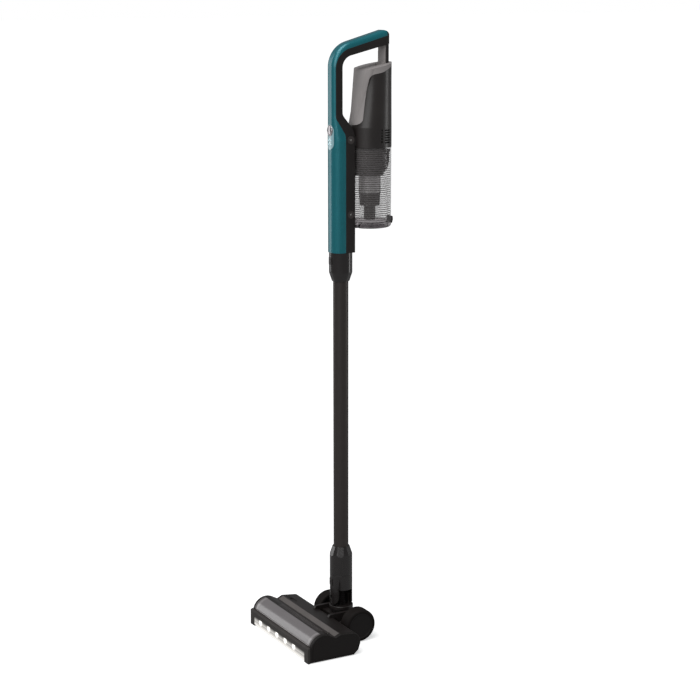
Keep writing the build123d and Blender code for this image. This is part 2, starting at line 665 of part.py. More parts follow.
def strut_strip():
    inner = STRUT_IN - 1.4
    plan = outline((-13.0, inner, 0.6), (13.0, inner, 0.6), (13.0, STRUT_IN, 0), (-13.0, STRUT_IN, 0))
    foot = outline((inner - 5.1, 1055, 0), (inner - 5.1, 1064.2, 0), (inner, 1065.5, 4.0),
                   (inner, 1085, 0), (STRUT_IN, 1085, 0), (STRUT_IN, 1055, 0))
    strip = rise(plan, STRUT_FOOT, 1110) + across(foot, -13.0, 13.0)
    return strip - housing_form(0) - across(loop_side(), -30, 30)


def control_board():
    return block(-10.5, 10.5, -0.4, 1.2, 908, 956) + block(-6, 6, 1.2, 5.0, 914, 926)


def spine_plugs():
    plugs = []
    for y, z in plug_places():
        plug = rod_x(7.0, 18.7, 19.75, y, z) - rod_x(2.2, 19.2, 21, y, z)
        plugs += plug.solids()
    return Compound(children=plugs)


def suction_duct():
    tube = rod_z(13.6, 746.0, 904.0, STEM_Y) + block(-10, 10, STEM_Y, 32.4, 868, 900)
    tube -= rod_z(12.2, 745.0, 902.4, STEM_Y)
    return tube - block(-8.6, 8.6, STEM_Y, 34, 869.4, 898.6)


def inlet_gasket():
    ring = block(-10, 10, 32.4, 34.2, 868, 900) - block(-8.2, 8.2, 31, 35, 869.8, 898.2)
    return ring


def boom_socket():
    socket = Pos(0, STEM_Y, 675.0) * mirror(faceted_collar(BOOM_BOTTOM - 675.0), about=Plane.XY)
    socket += rod_z(17.5, BOOM_BOTTOM, 745.8, STEM_Y)
    socket -= rod_z(WAND_R + FIT, 670, WAND_TOP + 0.4, STEM_Y)
    socket -= rod_z(12.6, 700, 750, STEM_Y)
    return socket - button_well(706.0, 719.0)


def boom_button():
    return release_button(706.0, 719.0)


def power_button():
    cap = through(button_face(), BOOM_FRONT - 0.9, -2.2)
    return fillet(cap.faces().sort_by(Axis.Y)[0].edges(), 0.7)


# ---------------------------------------------------------------- canister
def d_section(front, corner, inset):
    """(X, Y) section about the canister axis: a circle with a flat front and round corners."""
    radius, flat, edge = CAN_R - inset, front - inset, corner - inset
    side = math.sqrt((radius - edge) ** 2 - (flat - edge) ** 2)
    corner_y = -(flat - edge)
    reach = radius / (radius - edge)
    meet = (side * reach, corner_y * reach)
    swing = (math.atan2(corner_y, side) - math.pi / 2) / 2
    mid = (side + edge * math.cos(swing), corner_y + edge * math.sin(swing))
    face = make_face([
        ThreePointArc(meet, (0, radius), (-meet[0], meet[1])),
        ThreePointArc((-meet[0], meet[1]), (-mid[0], mid[1]), (-side, -flat)),
        Line((-side, -flat), (side, -flat)),
        ThreePointArc((side, -flat), mid, meet),
    ])
    return Pos(0, CAN_Y) * face


def housing_form(inset):
    """Outer form of the motor housing and its cover, inset by a wall."""
    high = 1085.0
    flat_high = CAN_R - 0.2 - FLAT_SLOPE * (high - FLAT_LOW)
    body = rod_z(CAN_R - inset, HOUSING_LOW, FLAT_LOW, CAN_Y)
    body += loft([Plane.XY.offset(FLAT_LOW) * d_section(CAN_R - 0.2, 30.0, inset),
                  Plane.XY.offset(high) * d_section(flat_high, 14.0, inset)])
    front = CAN_Y - CAN_R - 1 + inset
    lean_y = front + 1 + FLAT_SLOPE * 100
    crown = TOP_Z - TOP_SLOPE * (CAN_Y - lean_y) - inset
    rear = CAN_Y + CAN_R
    side = outline((front, 900, 0), (front, FLAT_LOW - 6, 0), (lean_y - 0.3, crown, max(10 - inset, 1)),
                   (rear, TOP_Z + TOP_SLOPE * CAN_R - inset, 1.5), (rear, 900, 0))
    return body & across(side, -50, 50)


def cover_side():
    """(Y, Z) region of the grey cover: front and top, in front of the swoosh."""
    rear = CAN_Y + CAN_R + 2
    return outline((20, 954.5, 0), (44.5, 956.5, 15), (58.0, 1045.0, 12), (80.0, 1049.5, 25),
                   (rear, 1064.5, 0), (rear, 1100, 0), (20, 1100, 0))


def charge_recess():
    """Well in the top of the housing, in front of the strut."""
    return block(-8.5, 8.5, 81.5, 91.5, 1050, 1080)


def housing_cover():
    skin = (housing_form(0) - housing_form(HOUSING_T)) & across(cover_side(), -50, 50)
    return skin - charge_recess()


def motor_housing():
    skin = (housing_form(0) - housing_form(HOUSING_T)) - across(cover_side(), -50, 50)
    floor = rod_z(CAN_R - HOUSING_T, HOUSING_LOW, HOUSING_LOW + 3, CAN_Y) - rod_z(22, 900, 920, CAN_Y)
    deck = rod_z(CAN_R - HOUSING_T, 964.0, 966.5, CAN_Y) & housing_form(HOUSING_T)
    pad = block(-15, 15, BOOM_BACK + 0.02, 38.0, 919, 936)
    body = skin + floor + deck + (pad - rod_z(CAN_R - HOUSING_T, 900, 990, CAN_Y))
    for i in range(5):
        z = 925.4 + 5.1 * i
        body -= block(-50, 50, CAN_Y + 1.6, CAN_Y + 4.6, z, z + 3.0)
    for i in range(6):
        z = 923.8 + 4.4 * i
        body -= block(20, 50, CAN_Y + 9.9, CAN_Y + 22.9, z, z + 2.3)
        body -= block(-50, -20, CAN_Y + 9.9, CAN_Y + 22.9, z, z + 2.3)
    return body


def motor_can():
    bore = 3.0 + RUN
    can = turned(CAN_Y, (12, 920, 0), (26, 920, 2), (26, 960, 3), (bore, 960, 0),
                 (bore, 956, 0), (8, 956, 0), (8, 958, 0), (24, 958, 2), (24, 922, 1), (12, 922, 0))
    return can + (rod_z(36, 950.5, 952.5, CAN_Y) - rod_z(25, 950, 953, CAN_Y))


def fan_rotor():
    rotor = turned(CAN_Y, (0, 922.5, 0), (9, 922.5, 0), (22, 927, 0.4), (22, 929, 0.4), (9, 931, 0),
                   (9, 950, 1), (3, 952, 0), (3, 962, 0), (0, 962, 0))
    blade = block(7, 21, -0.6, 0.6, 928.5, 934)
    for i in range(7):
        rotor += Pos(0, CAN_Y, 0) * Rot(0, 0, 360 / 7 * i) * blade
    return rotor


def exhaust_filter():
    return turned(CAN_Y, (29.5, 921.5, 1), (29.5, 950, 1), (35.6, 950, 1), (35.6, 921.5, 1))


def battery_cells():
    cells = []
    for x in (-18.7, 0, 18.7):
        for y in (-5.5, 13.2):
            cells += rod_z(9.25, 967.0, 1032.0, CAN_Y + y, x).solids()
    return Compound(children=cells)


# ---------------------------------------------------------------- dust cup and lid
def dust_cup():
    cup = rod_z(CAN_R, CUP_LOW, CUP_TOP, CAN_Y) - rod_z(CAN_R - CUP_T, 700, 1000, CAN_Y)
    for side in (-1, 1):
        x0, x1 = sorted((side * 11.0, side * 19.0))
        ear = block(x0, x1, CAN_Y - 39.0, CAN_Y - 30.2, HINGE_Z, CUP_LOW + 4)
        ear += rod_x(3.8, x0, x1, HINGE_Y, HINGE_Z)
        cup += ear & rod_z(CAN_R, 700, 1000, CAN_Y)
        boss = block(*sorted((side * 6.9, side * 9.4)), CAN_Y + 36.5, CAN_Y + 44.6, 780.8, 788.2)
        cup += boss - rod_z(CAN_R - CUP_T, 700, 1000, CAN_Y)
    cup -= block(-8.8, 8.8, CAN_Y - 42, CAN_Y - 30, 869.4, 898.6)
    cup -= rod_x(2.0 + RUN, -25, 25, HINGE_Y, HINGE_Z)
    return cup - rod_x(1.5 + RUN, -25, 25, LATCH_Y, LATCH_Z)


def shroud():
    """Bowl that hangs from the cup's mouth and carries the mesh."""
    bowl = turned(CAN_Y, (36.9, 908.0, 0), (36.9, 910.6, 0.5), (33.2, 910.6, 0), (33.2, 890.6, 6),
                  (29.6, 876.0, 4), (23.0, 868.6, 1), (23.0, 866.5, 0), (19.0, 866.5, 0),
                  (19.0, 864.8, 0), (25.0, 864.8, 0.6), (25.0, 868.0, 1.5), (31.6, 875.2, 5),
                  (35.2, 890.0, 7), (35.2, 908.0, 0))
    return bowl - inlet_box(0.05)


def mesh_screen():
    return rod_z(20.0, 833.05, 864.75, CAN_Y) - rod_z(19.0, 830, 866, CAN_Y)


def cyclone_cone():
    """Ringed cone under the mesh, with a flat floor round the dust pipe."""
    corners = [(9.4, 807.5, 0), (10.6, 807.5, 0), (10.6, 809.7, 0)]
    steps, pitch = 5, 4.66
    for i in range(steps):
        radius = 18.4 + 0.25 * i
        z = 809.7 + pitch * i
        corners += [(radius, z, 0.4), (radius, z + 3.6, 0.4), (radius - 1.0, z + 3.6, 0)]
        corners += [(radius - 1.0, z + pitch, 0)] if i < steps - 1 else []
    corners += [(18.4, 833.0, 0), (17.4, 833.0, 0), (16.4, 811.6, 0), (9.4, 811.6, 0)]
    return turned(CAN_Y, *corners)


def dust_pipe():
    return rod_z(10.6, 783.4, 807.5, CAN_Y) - rod_z(9.4, 770, 812, CAN_Y)


def inlet_box(grow=0.0):
    """Box round the dirty air's way in, which turns it down past the bowl."""
    return block(-10.8 - grow, 10.8 + grow, CAN_Y - 38, CAN_Y - 24 + grow, 866.6 - grow, 901 + grow)


def inlet_block():
    body = inlet_box() & rod_z(CAN_R - CUP_T - 0.05, 800, 950, CAN_Y)
    return body - block(-8.8, 8.8, CAN_Y - 42, CAN_Y - 26, 860, 898.6)


def premotor_filter():
    return turned(CAN_Y, (8, 870, 1), (18, 870, 3), (22.5, 899, 1),
                  (23.5, 910.4, 0), (12, 910.4, 0), (8, 905, 1))


def cup_lid():
    top = LID_LOW + LID_T - 0.5
    disc = turned(CAN_Y, (0, LID_LOW, 0), (CAN_R, LID_LOW, 5.5), (CAN_R, top, 0.5), (0, top, 0))
    disc -= rod_z(34.6, LID_LOW + 2.2, LID_LOW + 20, CAN_Y)
    disc -= block(-50, 50, 0, HINGE_Y, 700, 800)
    for side in (-1, 1):
        x0, x1 = sorted((side * 10.7, side * 19.4))
        disc -= block(x0, x1, 0, CAN_Y - 29.8, 700, 800)
    web = block(-10.4, 10.4, HINGE_Y, CAN_Y - 31.0, LID_LOW + 0.6, LID_LOW + 7.2)
    knuckle = rod_x(3.8, -10.4, 10.4, HINGE_Y, HINGE_Z) + rod_x(2.0, -18.6, 18.6, HINGE_Y, HINGE_Z)
    lip = block(-6.4, 6.4, CAN_Y + 36, CAN_Y + 41.2, LID_LOW + 6.3, LID_LOW + 8.5)
    return disc + web + knuckle + lip


def lid_seal():
    low, high = LID_LOW + 9.05, LID_LOW + 11.1
    ring = turned(CAN_Y, (33.6, low, 0), (33.6, high, 0), (36.7, high, 0), (36.7, low, 0))
    ring -= block(-50, 50, 0, CAN_Y - 29.4, 700, 800)
    return ring


def lid_latch():
    side = outline((CAN_Y + 40.9, 780.2, 0.4), (CAN_Y + 40.9, 786.6, 1.0), (CAN_Y + 44.6, 787.8, 1.2),
                   (CAN_Y + 45.6, 781.0, 1.6), (CAN_Y + 43.8, 774.4, 0.8), (CAN_Y + 39.7, 774.4, 0.4),
                   (CAN_Y + 39.7, 776.4, 0.3), (CAN_Y + 41.9, 776.4, 0.3), (CAN_Y + 41.9, 780.2, 0.3))
    return across(side, -6.6, 6.6) + rod_x(1.5, -9.2, 9.2, LATCH_Y, LATCH_Z)


# ---------------------------------------------------------------- build
def all_parts():
    """Every sub-part by its node name."""
    rim_right, tyre_right = wheel_rim(), wheel_tyre()
    return {
        "head_base": head_base(), "head_top_cover": head_top_cover(), "trim_strip": trim_strip(),
        "brush_window": brush_window(), "window_frame": window_frame(),
        "end_cap_left": end_cap_left(), "end_cap_right": end_cap_right(),
        "front_bumper": front_bumper(), "led_lens": led_lens(), "led_board": led_board(),
        "brush_bearings": brush_bearings(), "brush_motor": brush_motor(), "drive_belt": drive_belt(),
        "air_duct": air_duct(), "glide_pads": glide_pads(), "head_screws": head_screws(),
        "carriage": carriage(), "axle_pins": axle_pins(), "release_slider": release_slider(),
        "brush_axle": brush_axle(), "brush_core": brush_core(), "brush_pile": brush_pile(),
        "bristle_strips": bristle_strips(), "motor_pulley": motor_pulley(),
        "wheel_rim_right": rim_right, "wheel_rim_left": mirror(rim_right, about=Plane.YZ),
        "wheel_tyre_right": tyre_right, "wheel_tyre_left": mirror(tyre_right, about=Plane.YZ),
        "elbow": elbow(), "flex_hose": flex_hose(),
        "neck_socket": neck_socket(), "neck_button": neck_button(),
        "wand_tube": wand_tube(), "wand_end_rings": wand_end_rings(), "wand_wiring": wand_wiring(),
        "boom_socket": boom_socket(), "boom_button": boom_button(), "power_button": power_button(),
        "front_shell": front_shell(), "rear_shell": rear_shell(), "strut_strip": strut_strip(),
        "display_lens": display_lens(), "control_board": control_board(), "spine_plugs": spine_plugs(),
        "suction_duct": suction_duct(), "inlet_gasket": inlet_gasket(),
        "motor_housing": motor_housing(), "housing_cover": housing_cover(), "motor_can": motor_can(),
        "fan_rotor": fan_rotor(), "exhaust_filter": exhaust_filter(), "battery_cells": battery_cells(),
        "dust_cup": dust_cup(), "shroud": shroud(), "mesh_screen": mesh_screen(),
        "cyclone_cone": cyclone_cone() + dust_pipe(), "inlet_block": inlet_block(),
        "premotor_filter": premotor_filter(),
        "cup_lid": cup_lid() + lid_seal(), "lid_latch": lid_latch(),
    }


os.makedirs("parts", exist_ok=True)
for node, shape in all_parts().items():
    export_step(shape, f"parts/{node}.step")
    print(node, len(shape.solids()), "solids")
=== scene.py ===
"""Looks of an upright cordless stick vacuum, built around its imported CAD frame.

Metres. +Z is up, -Y is the front, where the lights are, and +X is to the right seen from behind.
Each sub-assembly is a class: its sizes are fields, and its methods build the pieces and dress them.
"""

import logging
import math
from collections.abc import Iterable, Sequence
from dataclasses import dataclass
from enum import Enum

import bpy
from mathutils import Matrix, Vector


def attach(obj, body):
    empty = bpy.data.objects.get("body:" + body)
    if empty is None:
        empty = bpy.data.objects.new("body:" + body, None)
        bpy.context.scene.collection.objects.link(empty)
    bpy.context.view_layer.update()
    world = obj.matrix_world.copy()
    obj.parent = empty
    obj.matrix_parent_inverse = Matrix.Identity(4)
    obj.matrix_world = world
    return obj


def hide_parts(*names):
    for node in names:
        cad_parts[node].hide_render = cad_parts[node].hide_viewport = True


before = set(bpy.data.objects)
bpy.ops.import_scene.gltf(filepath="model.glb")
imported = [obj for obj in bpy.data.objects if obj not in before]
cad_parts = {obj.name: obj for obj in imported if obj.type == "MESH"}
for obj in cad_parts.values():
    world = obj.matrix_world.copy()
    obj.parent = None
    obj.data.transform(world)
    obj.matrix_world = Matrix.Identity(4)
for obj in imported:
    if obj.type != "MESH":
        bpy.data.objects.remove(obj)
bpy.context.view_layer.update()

LOG = logging.getLogger("vacuum")
MM = 0.001
EDGE_SAMPLES = 4
Point = tuple[float, float, float]
Tree = bpy.types.NodeTree
Node = bpy.types.Node
Socket = bpy.types.NodeSocket
Piece = bpy.types.Object


# ------------------------------------------------------------------ colour and nodes
def linear(code: str) -> tuple[float, float, float, float]:
    """Turn an sRGB hex value into a linear colour.

    Args:
        code: colour as "#rrggbb".

    Returns:
        Red, green, blue and alpha, each from 0 to 1.
    """
    shares = [int(code[i:i + 2], 16) / 255 for i in (1, 3, 5)]
    red, green, blue = (s / 12.92 if s <= 0.04045 else ((s + 0.055) / 1.055) ** 2.4 for s in shares)
    return red, green, blue, 1.0


def add_node(tree: Tree, kind: str, links: dict | None = None, inputs: dict | None = None,
             **settings: object) -> Node:
    """Add one node with its settings and links.

    Args:
        tree: node tree that gets the node.
        kind: Blender's type name of the node.
        links: input name or number to the output socket that feeds it.
        inputs: input name or number to the value that it keeps.
        **settings: properties of the node itself.

    Returns:
        The new node.
    """
    node = tree.nodes.new(kind)
    for key, value in settings.items():
        setattr(node, key, value)
    for key, value in (inputs or {}).items():
        node.inputs[key].default_value = value
    for key, source in (links or {}).items():
        tree.links.new(source, node.inputs[key])
    return node


def ramp(tree: Tree, source: Socket, *stops: tuple[float, str]) -> Socket:
    """Colour a value by stops of (position, hex colour).

    Args:
        tree: node tree to work in.
        source: value from 0 to 1.
        *stops: positions from 0 to 1, each with its colour.

    Returns:
        The colour output.
    """
    node = add_node(tree, "ShaderNodeValToRGB", {"Fac": source})
    band = node.color_ramp
    while len(band.elements) < len(stops):
        band.elements.new(0.5)
    for element, (place, code) in zip(band.elements, stops):
        element.position = place
        element.color = linear(code)
    return node.outputs["Color"]


class Grain(Enum):
    """How a surface was made, which sets the direction of its fine marks."""

    EVEN = (1.0, 1.0, 1.0)
    DRAWN_UP = (1.0, 1.0, 0.02)


# ------------------------------------------------------------------ finishes
@dataclass(frozen=True)
class Finish:
    """A surface finish. Its name is the material's name."""

    name: str

    def make(self) -> bpy.types.Material:
        """Return the material, made once and then shared."""
        made = bpy.data.materials.get(self.name)
        if made is None:
            made = bpy.data.materials.new(self.name)
            made.use_nodes = True
            tree = made.node_tree
            shader = tree.nodes["Principled BSDF"]
            place = add_node(tree, "ShaderNodeTexCoord").outputs["Object"]
            self.dress(tree, shader, place)
        return made

    def dress(self, tree: Tree, shader: Node, place: Socket) -> None:
        """Build the finish's nodes.

        Args:
            tree: the new material's node tree.
            shader: its Principled shader.
            place: object coordinates in metres.
        """
        raise NotImplementedError

    def relief(self, tree: Tree, shader: Node, height: Socket, depth_mm: float, strength: float,
               edge_mm: float) -> None:
        """Round the sharp edges and give a pattern its depth.

        Args:
            tree: the new material's node tree.
            shader: its Principled shader.
            height: the pattern, from 0 to 1.
            depth_mm: real depth of the pattern in millimetres.
            strength: share of that depth that shows.
            edge_mm: radius of the edges in millimetres.
        """
        edge = add_node(tree, "ShaderNodeBevel", inputs={"Radius": edge_mm * MM}, samples=EDGE_SAMPLES)
        bump = add_node(tree, "ShaderNodeBump", {"Height": height, "Normal": edge.outputs["Normal"]},
                        {"Strength": strength, "Distance": depth_mm * MM})
        tree.links.new(bump.outputs["Normal"], shader.inputs["Normal"])


@dataclass(frozen=True)
class MouldedABS(Finish):
    """Injection moulded ABS with a fine spark-eroded grain: dull, even, softly lit at its rounded edges."""

    colour: str
    shade: str
    roughness: float = 0.42
    specular: float = 0.5
    grain_mm: float = 0.35  # finer in life, drawn as coarse as still shows
    depth_mm: float = 0.012
    edge_mm: float = 0.45
    coat: float = 0.0
    coat_roughness: float = 0.12
    worn: float = 0.05
    clouds_per_m: float = 22.0  # flow marks about 45 mm apart

    def dress(self, tree: Tree, shader: Node, place: Socket) -> None:
        """Cloudy colour, grain in the bump and the roughness, and rounded edges.

        Args:
            tree: the new material's node tree.
            shader: its Principled shader.
            place: object coordinates in metres.
        """
        cloud = add_node(tree, "ShaderNodeTexNoise", {"Vector": place},
                         {"Scale": self.clouds_per_m, "Detail": 3.0})
        grain = add_node(tree, "ShaderNodeTexNoise", {"Vector": place},
                         {"Scale": 1 / (self.grain_mm * MM), "Detail": 2.0, "Roughness": 0.6})
        tree.links.new(ramp(tree, cloud.outputs["Fac"], (0.3, self.shade), (0.7, self.colour)),
                       shader.inputs["Base Color"])
        worn = add_node(tree, "ShaderNodeMapRange", {"Value": grain.outputs["Fac"]},
                        {"From Min": 0.3, "From Max": 0.7, "To Min": self.roughness - self.worn,
                         "To Max": self.roughness + self.worn})
        tree.links.new(worn.outputs["Result"], shader.inputs["Roughness"])
        self.relief(tree, shader, grain.outputs["Fac"], self.depth_mm, 0.6, self.edge_mm)
        shader.inputs["Specular IOR Level"].default_value = self.specular
        shader.inputs["Coat Weight"].default_value = self.coat
        shader.inputs["Coat Roughness"].default_value = self.coat_roughness


@dataclass(frozen=True)
class FlakePaint(Finish):
    """Metallic paint on plastic under a clear coat: flakes of the same hue, glossy but not a mirror."""

    colour: str
    flake: str
    deep: str
    flake_mm: float = 0.45  # real flakes are finer, and this is the smallest that still shows
    edge_mm: float = 0.5
    drift_per_m: float = 30.0  # slow drift of the gloss, about 33 mm across
    dullest: float = 0.42
    glossiest: float = 0.30

    def dress(self, tree: Tree, shader: Node, place: Socket) -> None:
        """Flakes in the colour, a slow drift of tone, and a clear coat.

        Args:
            tree: the new material's node tree.
            shader: its Principled shader.
            place: object coordinates in metres.
        """
        cells = add_node(tree, "ShaderNodeTexVoronoi", {"Vector": place},
                         {"Scale": 1 / (self.flake_mm * MM)})
        tone = ramp(tree, cells.outputs["Color"], (0.1, self.deep), (0.55, self.colour), (0.95, self.flake))
        tree.links.new(tone, shader.inputs["Base Color"])
        drift = add_node(tree, "ShaderNodeTexNoise", {"Vector": place},
                         {"Scale": self.drift_per_m, "Detail": 2.0})
        dull = add_node(tree, "ShaderNodeMapRange", {"Value": drift.outputs["Fac"]},
                        {"To Min": self.glossiest, "To Max": self.dullest})
        tree.links.new(dull.outputs["Result"], shader.inputs["Roughness"])
        self.relief(tree, shader, cells.outputs["Distance"], 0.01, 0.25, self.edge_mm)
        shader.inputs["Metallic"].default_value = 0.35
        shader.inputs["Coat Weight"].default_value = 0.5
        shader.inputs["Coat Roughness"].default_value = 0.14


@dataclass(frozen=True)
class BareMetal(Finish):
    """Drawn, ground or anodised metal: fine lines along the way it was worked."""

    colour: str
    shade: str
    roughness: float = 0.32
    line_mm: float = 0.25
    grain: Grain = Grain.EVEN
    metallic: float = 1.0
    worn: float = 0.06

    def dress(self, tree: Tree, shader: Node, place: Socket) -> None:
        """Stretched noise gives the lines their tone and their depth.

        Args:
            tree: the new material's node tree.
            shader: its Principled shader.
            place: object coordinates in metres.
        """
        laid = add_node(tree, "ShaderNodeMapping", {"Vector": place}, {"Scale": self.grain.value})
        lines = add_node(tree, "ShaderNodeTexNoise", {"Vector": laid.outputs["Vector"]},
                         {"Scale": 1 / (self.line_mm * MM), "Detail": 3.0})
        tree.links.new(ramp(tree, lines.outputs["Fac"], (0.3, self.shade), (0.7, self.colour)),
                       shader.inputs["Base Color"])
        worn = add_node(tree, "ShaderNodeMapRange", {"Value": lines.outputs["Fac"]},
                        {"From Min": 0.3, "From Max": 0.7, "To Min": self.roughness - self.worn,
                         "To Max": self.roughness + self.worn})
        tree.links.new(worn.outputs["Result"], shader.inputs["Roughness"])
        self.relief(tree, shader, lines.outputs["Fac"], 0.008, 0.3, 0.25)
        shader.inputs["Metallic"].default_value = self.metallic


@dataclass(frozen=True)
class ClearPlastic(Finish):
    """Polished clear polycarbonate, a little scuffed: seen through, with a soft shine.

    A thick piece bends the light that passes. A thin wall lets it straight through by its alpha.
    """

    tint: str
    roughness: float = 0.06
    ior: float = 1.45
    alpha: float = 1.0
    passing: float = 1.0
    scuffs_per_m: float = 140.0  # scuffs about 7 mm across
    scuffed: float = 0.03

    def dress(self, tree: Tree, shader: Node, place: Socket) -> None:
        """Tinted transmission with faint scuffs in the roughness.

        Args:
            tree: the new material's node tree.
            shader: its Principled shader.
            place: object coordinates in metres.
        """
        scuff = add_node(tree, "ShaderNodeTexNoise", {"Vector": place},
                         {"Scale": self.scuffs_per_m, "Detail": 6.0})
        dull = add_node(tree, "ShaderNodeMapRange", {"Value": scuff.outputs["Fac"]},
                        {"From Min": 0.4, "From Max": 0.75, "To Min": self.roughness,
                         "To Max": self.roughness + self.scuffed})
        tree.links.new(dull.outputs["Result"], shader.inputs["Roughness"])
        shader.inputs["Base Color"].default_value = linear(self.tint)
        shader.inputs["Transmission Weight"].default_value = self.passing
        shader.inputs["IOR"].default_value = self.ior
        shader.inputs["Alpha"].default_value = self.alpha


@dataclass(frozen=True)
class SmokedWindow(Finish):
    """Smoked polycarbonate pane, milky inside and glossy outside, with a duller band at each end."""

    colour: str
    band: str
    band_from_mm: float = 100.5
    band_blend_mm: float = 0.6
    milk_per_m: float = 35.0  # milky drift about 29 mm across

    def dress(self, tree: Tree, shader: Node, place: Socket) -> None:
        """The band is set by the distance from the middle of the pane.

        Args:
            tree: the new material's node tree.
            shader: its Principled shader.
            place: object coordinates in metres.
        """
        axes = add_node(tree, "ShaderNodeSeparateXYZ", {"Vector": place})
        away = add_node(tree, "ShaderNodeMath", {0: axes.outputs["X"]}, operation="ABSOLUTE")
        start = self.band_from_mm * MM
        share = add_node(tree, "ShaderNodeMapRange", {"Value": away.outputs["Value"]},
                         {"From Min": start, "From Max": start + self.band_blend_mm * MM})
        milk = add_node(tree, "ShaderNodeTexNoise", {"Vector": place},
                        {"Scale": self.milk_per_m, "Detail": 2.0})
        tone = add_node(tree, "ShaderNodeMapRange", {"Value": milk.outputs["Fac"]},
                        {"To Min": -0.06, "To Max": 0.06})
        both = add_node(tree, "ShaderNodeMath", {0: share.outputs["Result"], 1: tone.outputs["Result"]},
                        operation="ADD")
        tree.links.new(ramp(tree, both.outputs["Value"], (0.0, self.colour), (1.0, self.band)),
                       shader.inputs["Base Color"])
        shader.inputs["Roughness"].default_value = 0.2
        shader.inputs["Coat Weight"].default_value = 0.6
        shader.inputs["Coat Roughness"].default_value = 0.08


@dataclass(frozen=True)
class LitLens(Finish):
    """Clear lens lit from behind by evenly spaced lamps: bright round each one, and lower down. On the
    strip below the lamps it paints the lamps' light where it falls on the base's front.
    """

    first_mm: float
    pitch_mm: float
    last_mm: float = 74.0
    wash: float = 0.8
    top_mm: float = 18.5
    bottom_mm: float = 10.8
    lamp_mm: float = 14.8
    fade_mm: float = 6.0
    colour: str = "#F6F3EE"
    unlit: str = "#2E2A29"

    def dress(self, tree: Tree, shader: Node, place: Socket) -> None:
        """Distance to the nearest lamp and height above the floor set the glow.

        Args:
            tree: the new material's node tree.
            shader: its Principled shader.
            place: object coordinates in metres.
        """
        axes = add_node(tree, "ShaderNodeSeparateXYZ", {"Vector": place})
        moved = add_node(tree, "ShaderNodeMath", {0: axes.outputs["X"]}, {1: self.first_mm * MM},
                         operation="SUBTRACT")
        near = add_node(tree, "ShaderNodeMath", {0: moved.outputs["Value"]},
                        {1: self.pitch_mm / 2 * MM},
                        operation="PINGPONG")
        rise = add_node(tree, "ShaderNodeMath", {0: axes.outputs["Z"]}, {1: self.lamp_mm * MM},
                        operation="SUBTRACT")
        spot = add_node(tree, "ShaderNodeCombineXYZ",
                        {"X": near.outputs["Value"], "Y": rise.outputs["Value"]})
        reach = add_node(tree, "ShaderNodeVectorMath", {0: spot.outputs["Vector"]}, operation="LENGTH")
        glow = add_node(tree, "ShaderNodeMapRange", {"Value": reach.outputs["Value"]},
                        {"From Min": 0.8 * MM, "From Max": 9.5 * MM, "To Min": 1.5, "To Max": 0.0},
                        interpolation_type="SMOOTHERSTEP")
        wash = add_node(tree, "ShaderNodeMapRange", {"Value": axes.outputs["Z"]},
                        {"From Min": self.bottom_mm * MM, "From Max": self.top_mm * MM, "To Min": self.wash,
                         "To Max": 0.02})
        ended = add_node(tree, "ShaderNodeMapRange", {"Value": axes.outputs["X"]},
                         {"From Min": self.last_mm * MM, "From Max": (self.last_mm + self.fade_mm) * MM,
                          "To Min": 1.0, "To Max": 0.0})
        spots = add_node(tree, "ShaderNodeMath", {0: glow.outputs["Result"], 1: ended.outputs["Result"]},
                         operation="MULTIPLY")
        both = add_node(tree, "ShaderNodeMath", {0: spots.outputs["Value"], 1: wash.outputs["Result"]},
                        operation="ADD")
        tree.links.new(both.outputs["Value"], shader.inputs["Emission Strength"])
        shader.inputs["Emission Color"].default_value = linear(self.colour)
        shader.inputs["Base Color"].default_value = linear(self.unlit)
        shader.inputs["Roughness"].default_value = 0.25


@dataclass(frozen=True)
class Lamp(Finish):
    """Lamp behind clear resin: it glows evenly."""

    colour: str
    strength: float

    def dress(self, tree: Tree, shader: Node, place: Socket) -> None:
        """Plain glow.

        Args:
            tree: the new material's node tree.
            shader: its Principled shader.
            place: object coordinates in metres.
        """
        shader.inputs["Emission Color"].default_value = linear(self.colour)
        shader.inputs["Emission Strength"].default_value = self.strength
        shader.inputs["Base Color"].default_value = linear(self.colour)
        shader.inputs["Roughness"].default_value = 0.3


@dataclass(frozen=True)
class SoftRubber(Finish):
    """Moulded rubber: dull, with a fine pebbled skin."""

    colour: str
    shade: str
    pebble_mm: float = 0.6
    roughness: float = 0.62
    specular: float = 0.2
    clouds_per_m: float = 45.0  # dusty clouds about 22 mm across

    def dress(self, tree: Tree, shader: Node, place: Socket) -> None:
        """Pebbles from cells, a cloudy tone from noise.

        Args:
            tree: the new material's node tree.
            shader: its Principled shader.
            place: object coordinates in metres.
        """
        cells = add_node(tree, "ShaderNodeTexVoronoi", {"Vector": place},
                         {"Scale": 1 / (self.pebble_mm * MM)}, feature="SMOOTH_F1")
        cloud = add_node(tree, "ShaderNodeTexNoise", {"Vector": place},
                         {"Scale": self.clouds_per_m, "Detail": 4.0})
        tree.links.new(ramp(tree, cloud.outputs["Fac"], (0.3, self.shade), (0.7, self.colour)),
                       shader.inputs["Base Color"])
        self.relief(tree, shader, cells.outputs["Distance"], 0.03, 0.35, 0.4)
        shader.inputs["Roughness"].default_value = self.roughness
        shader.inputs["Specular IOR Level"].default_value = self.specular


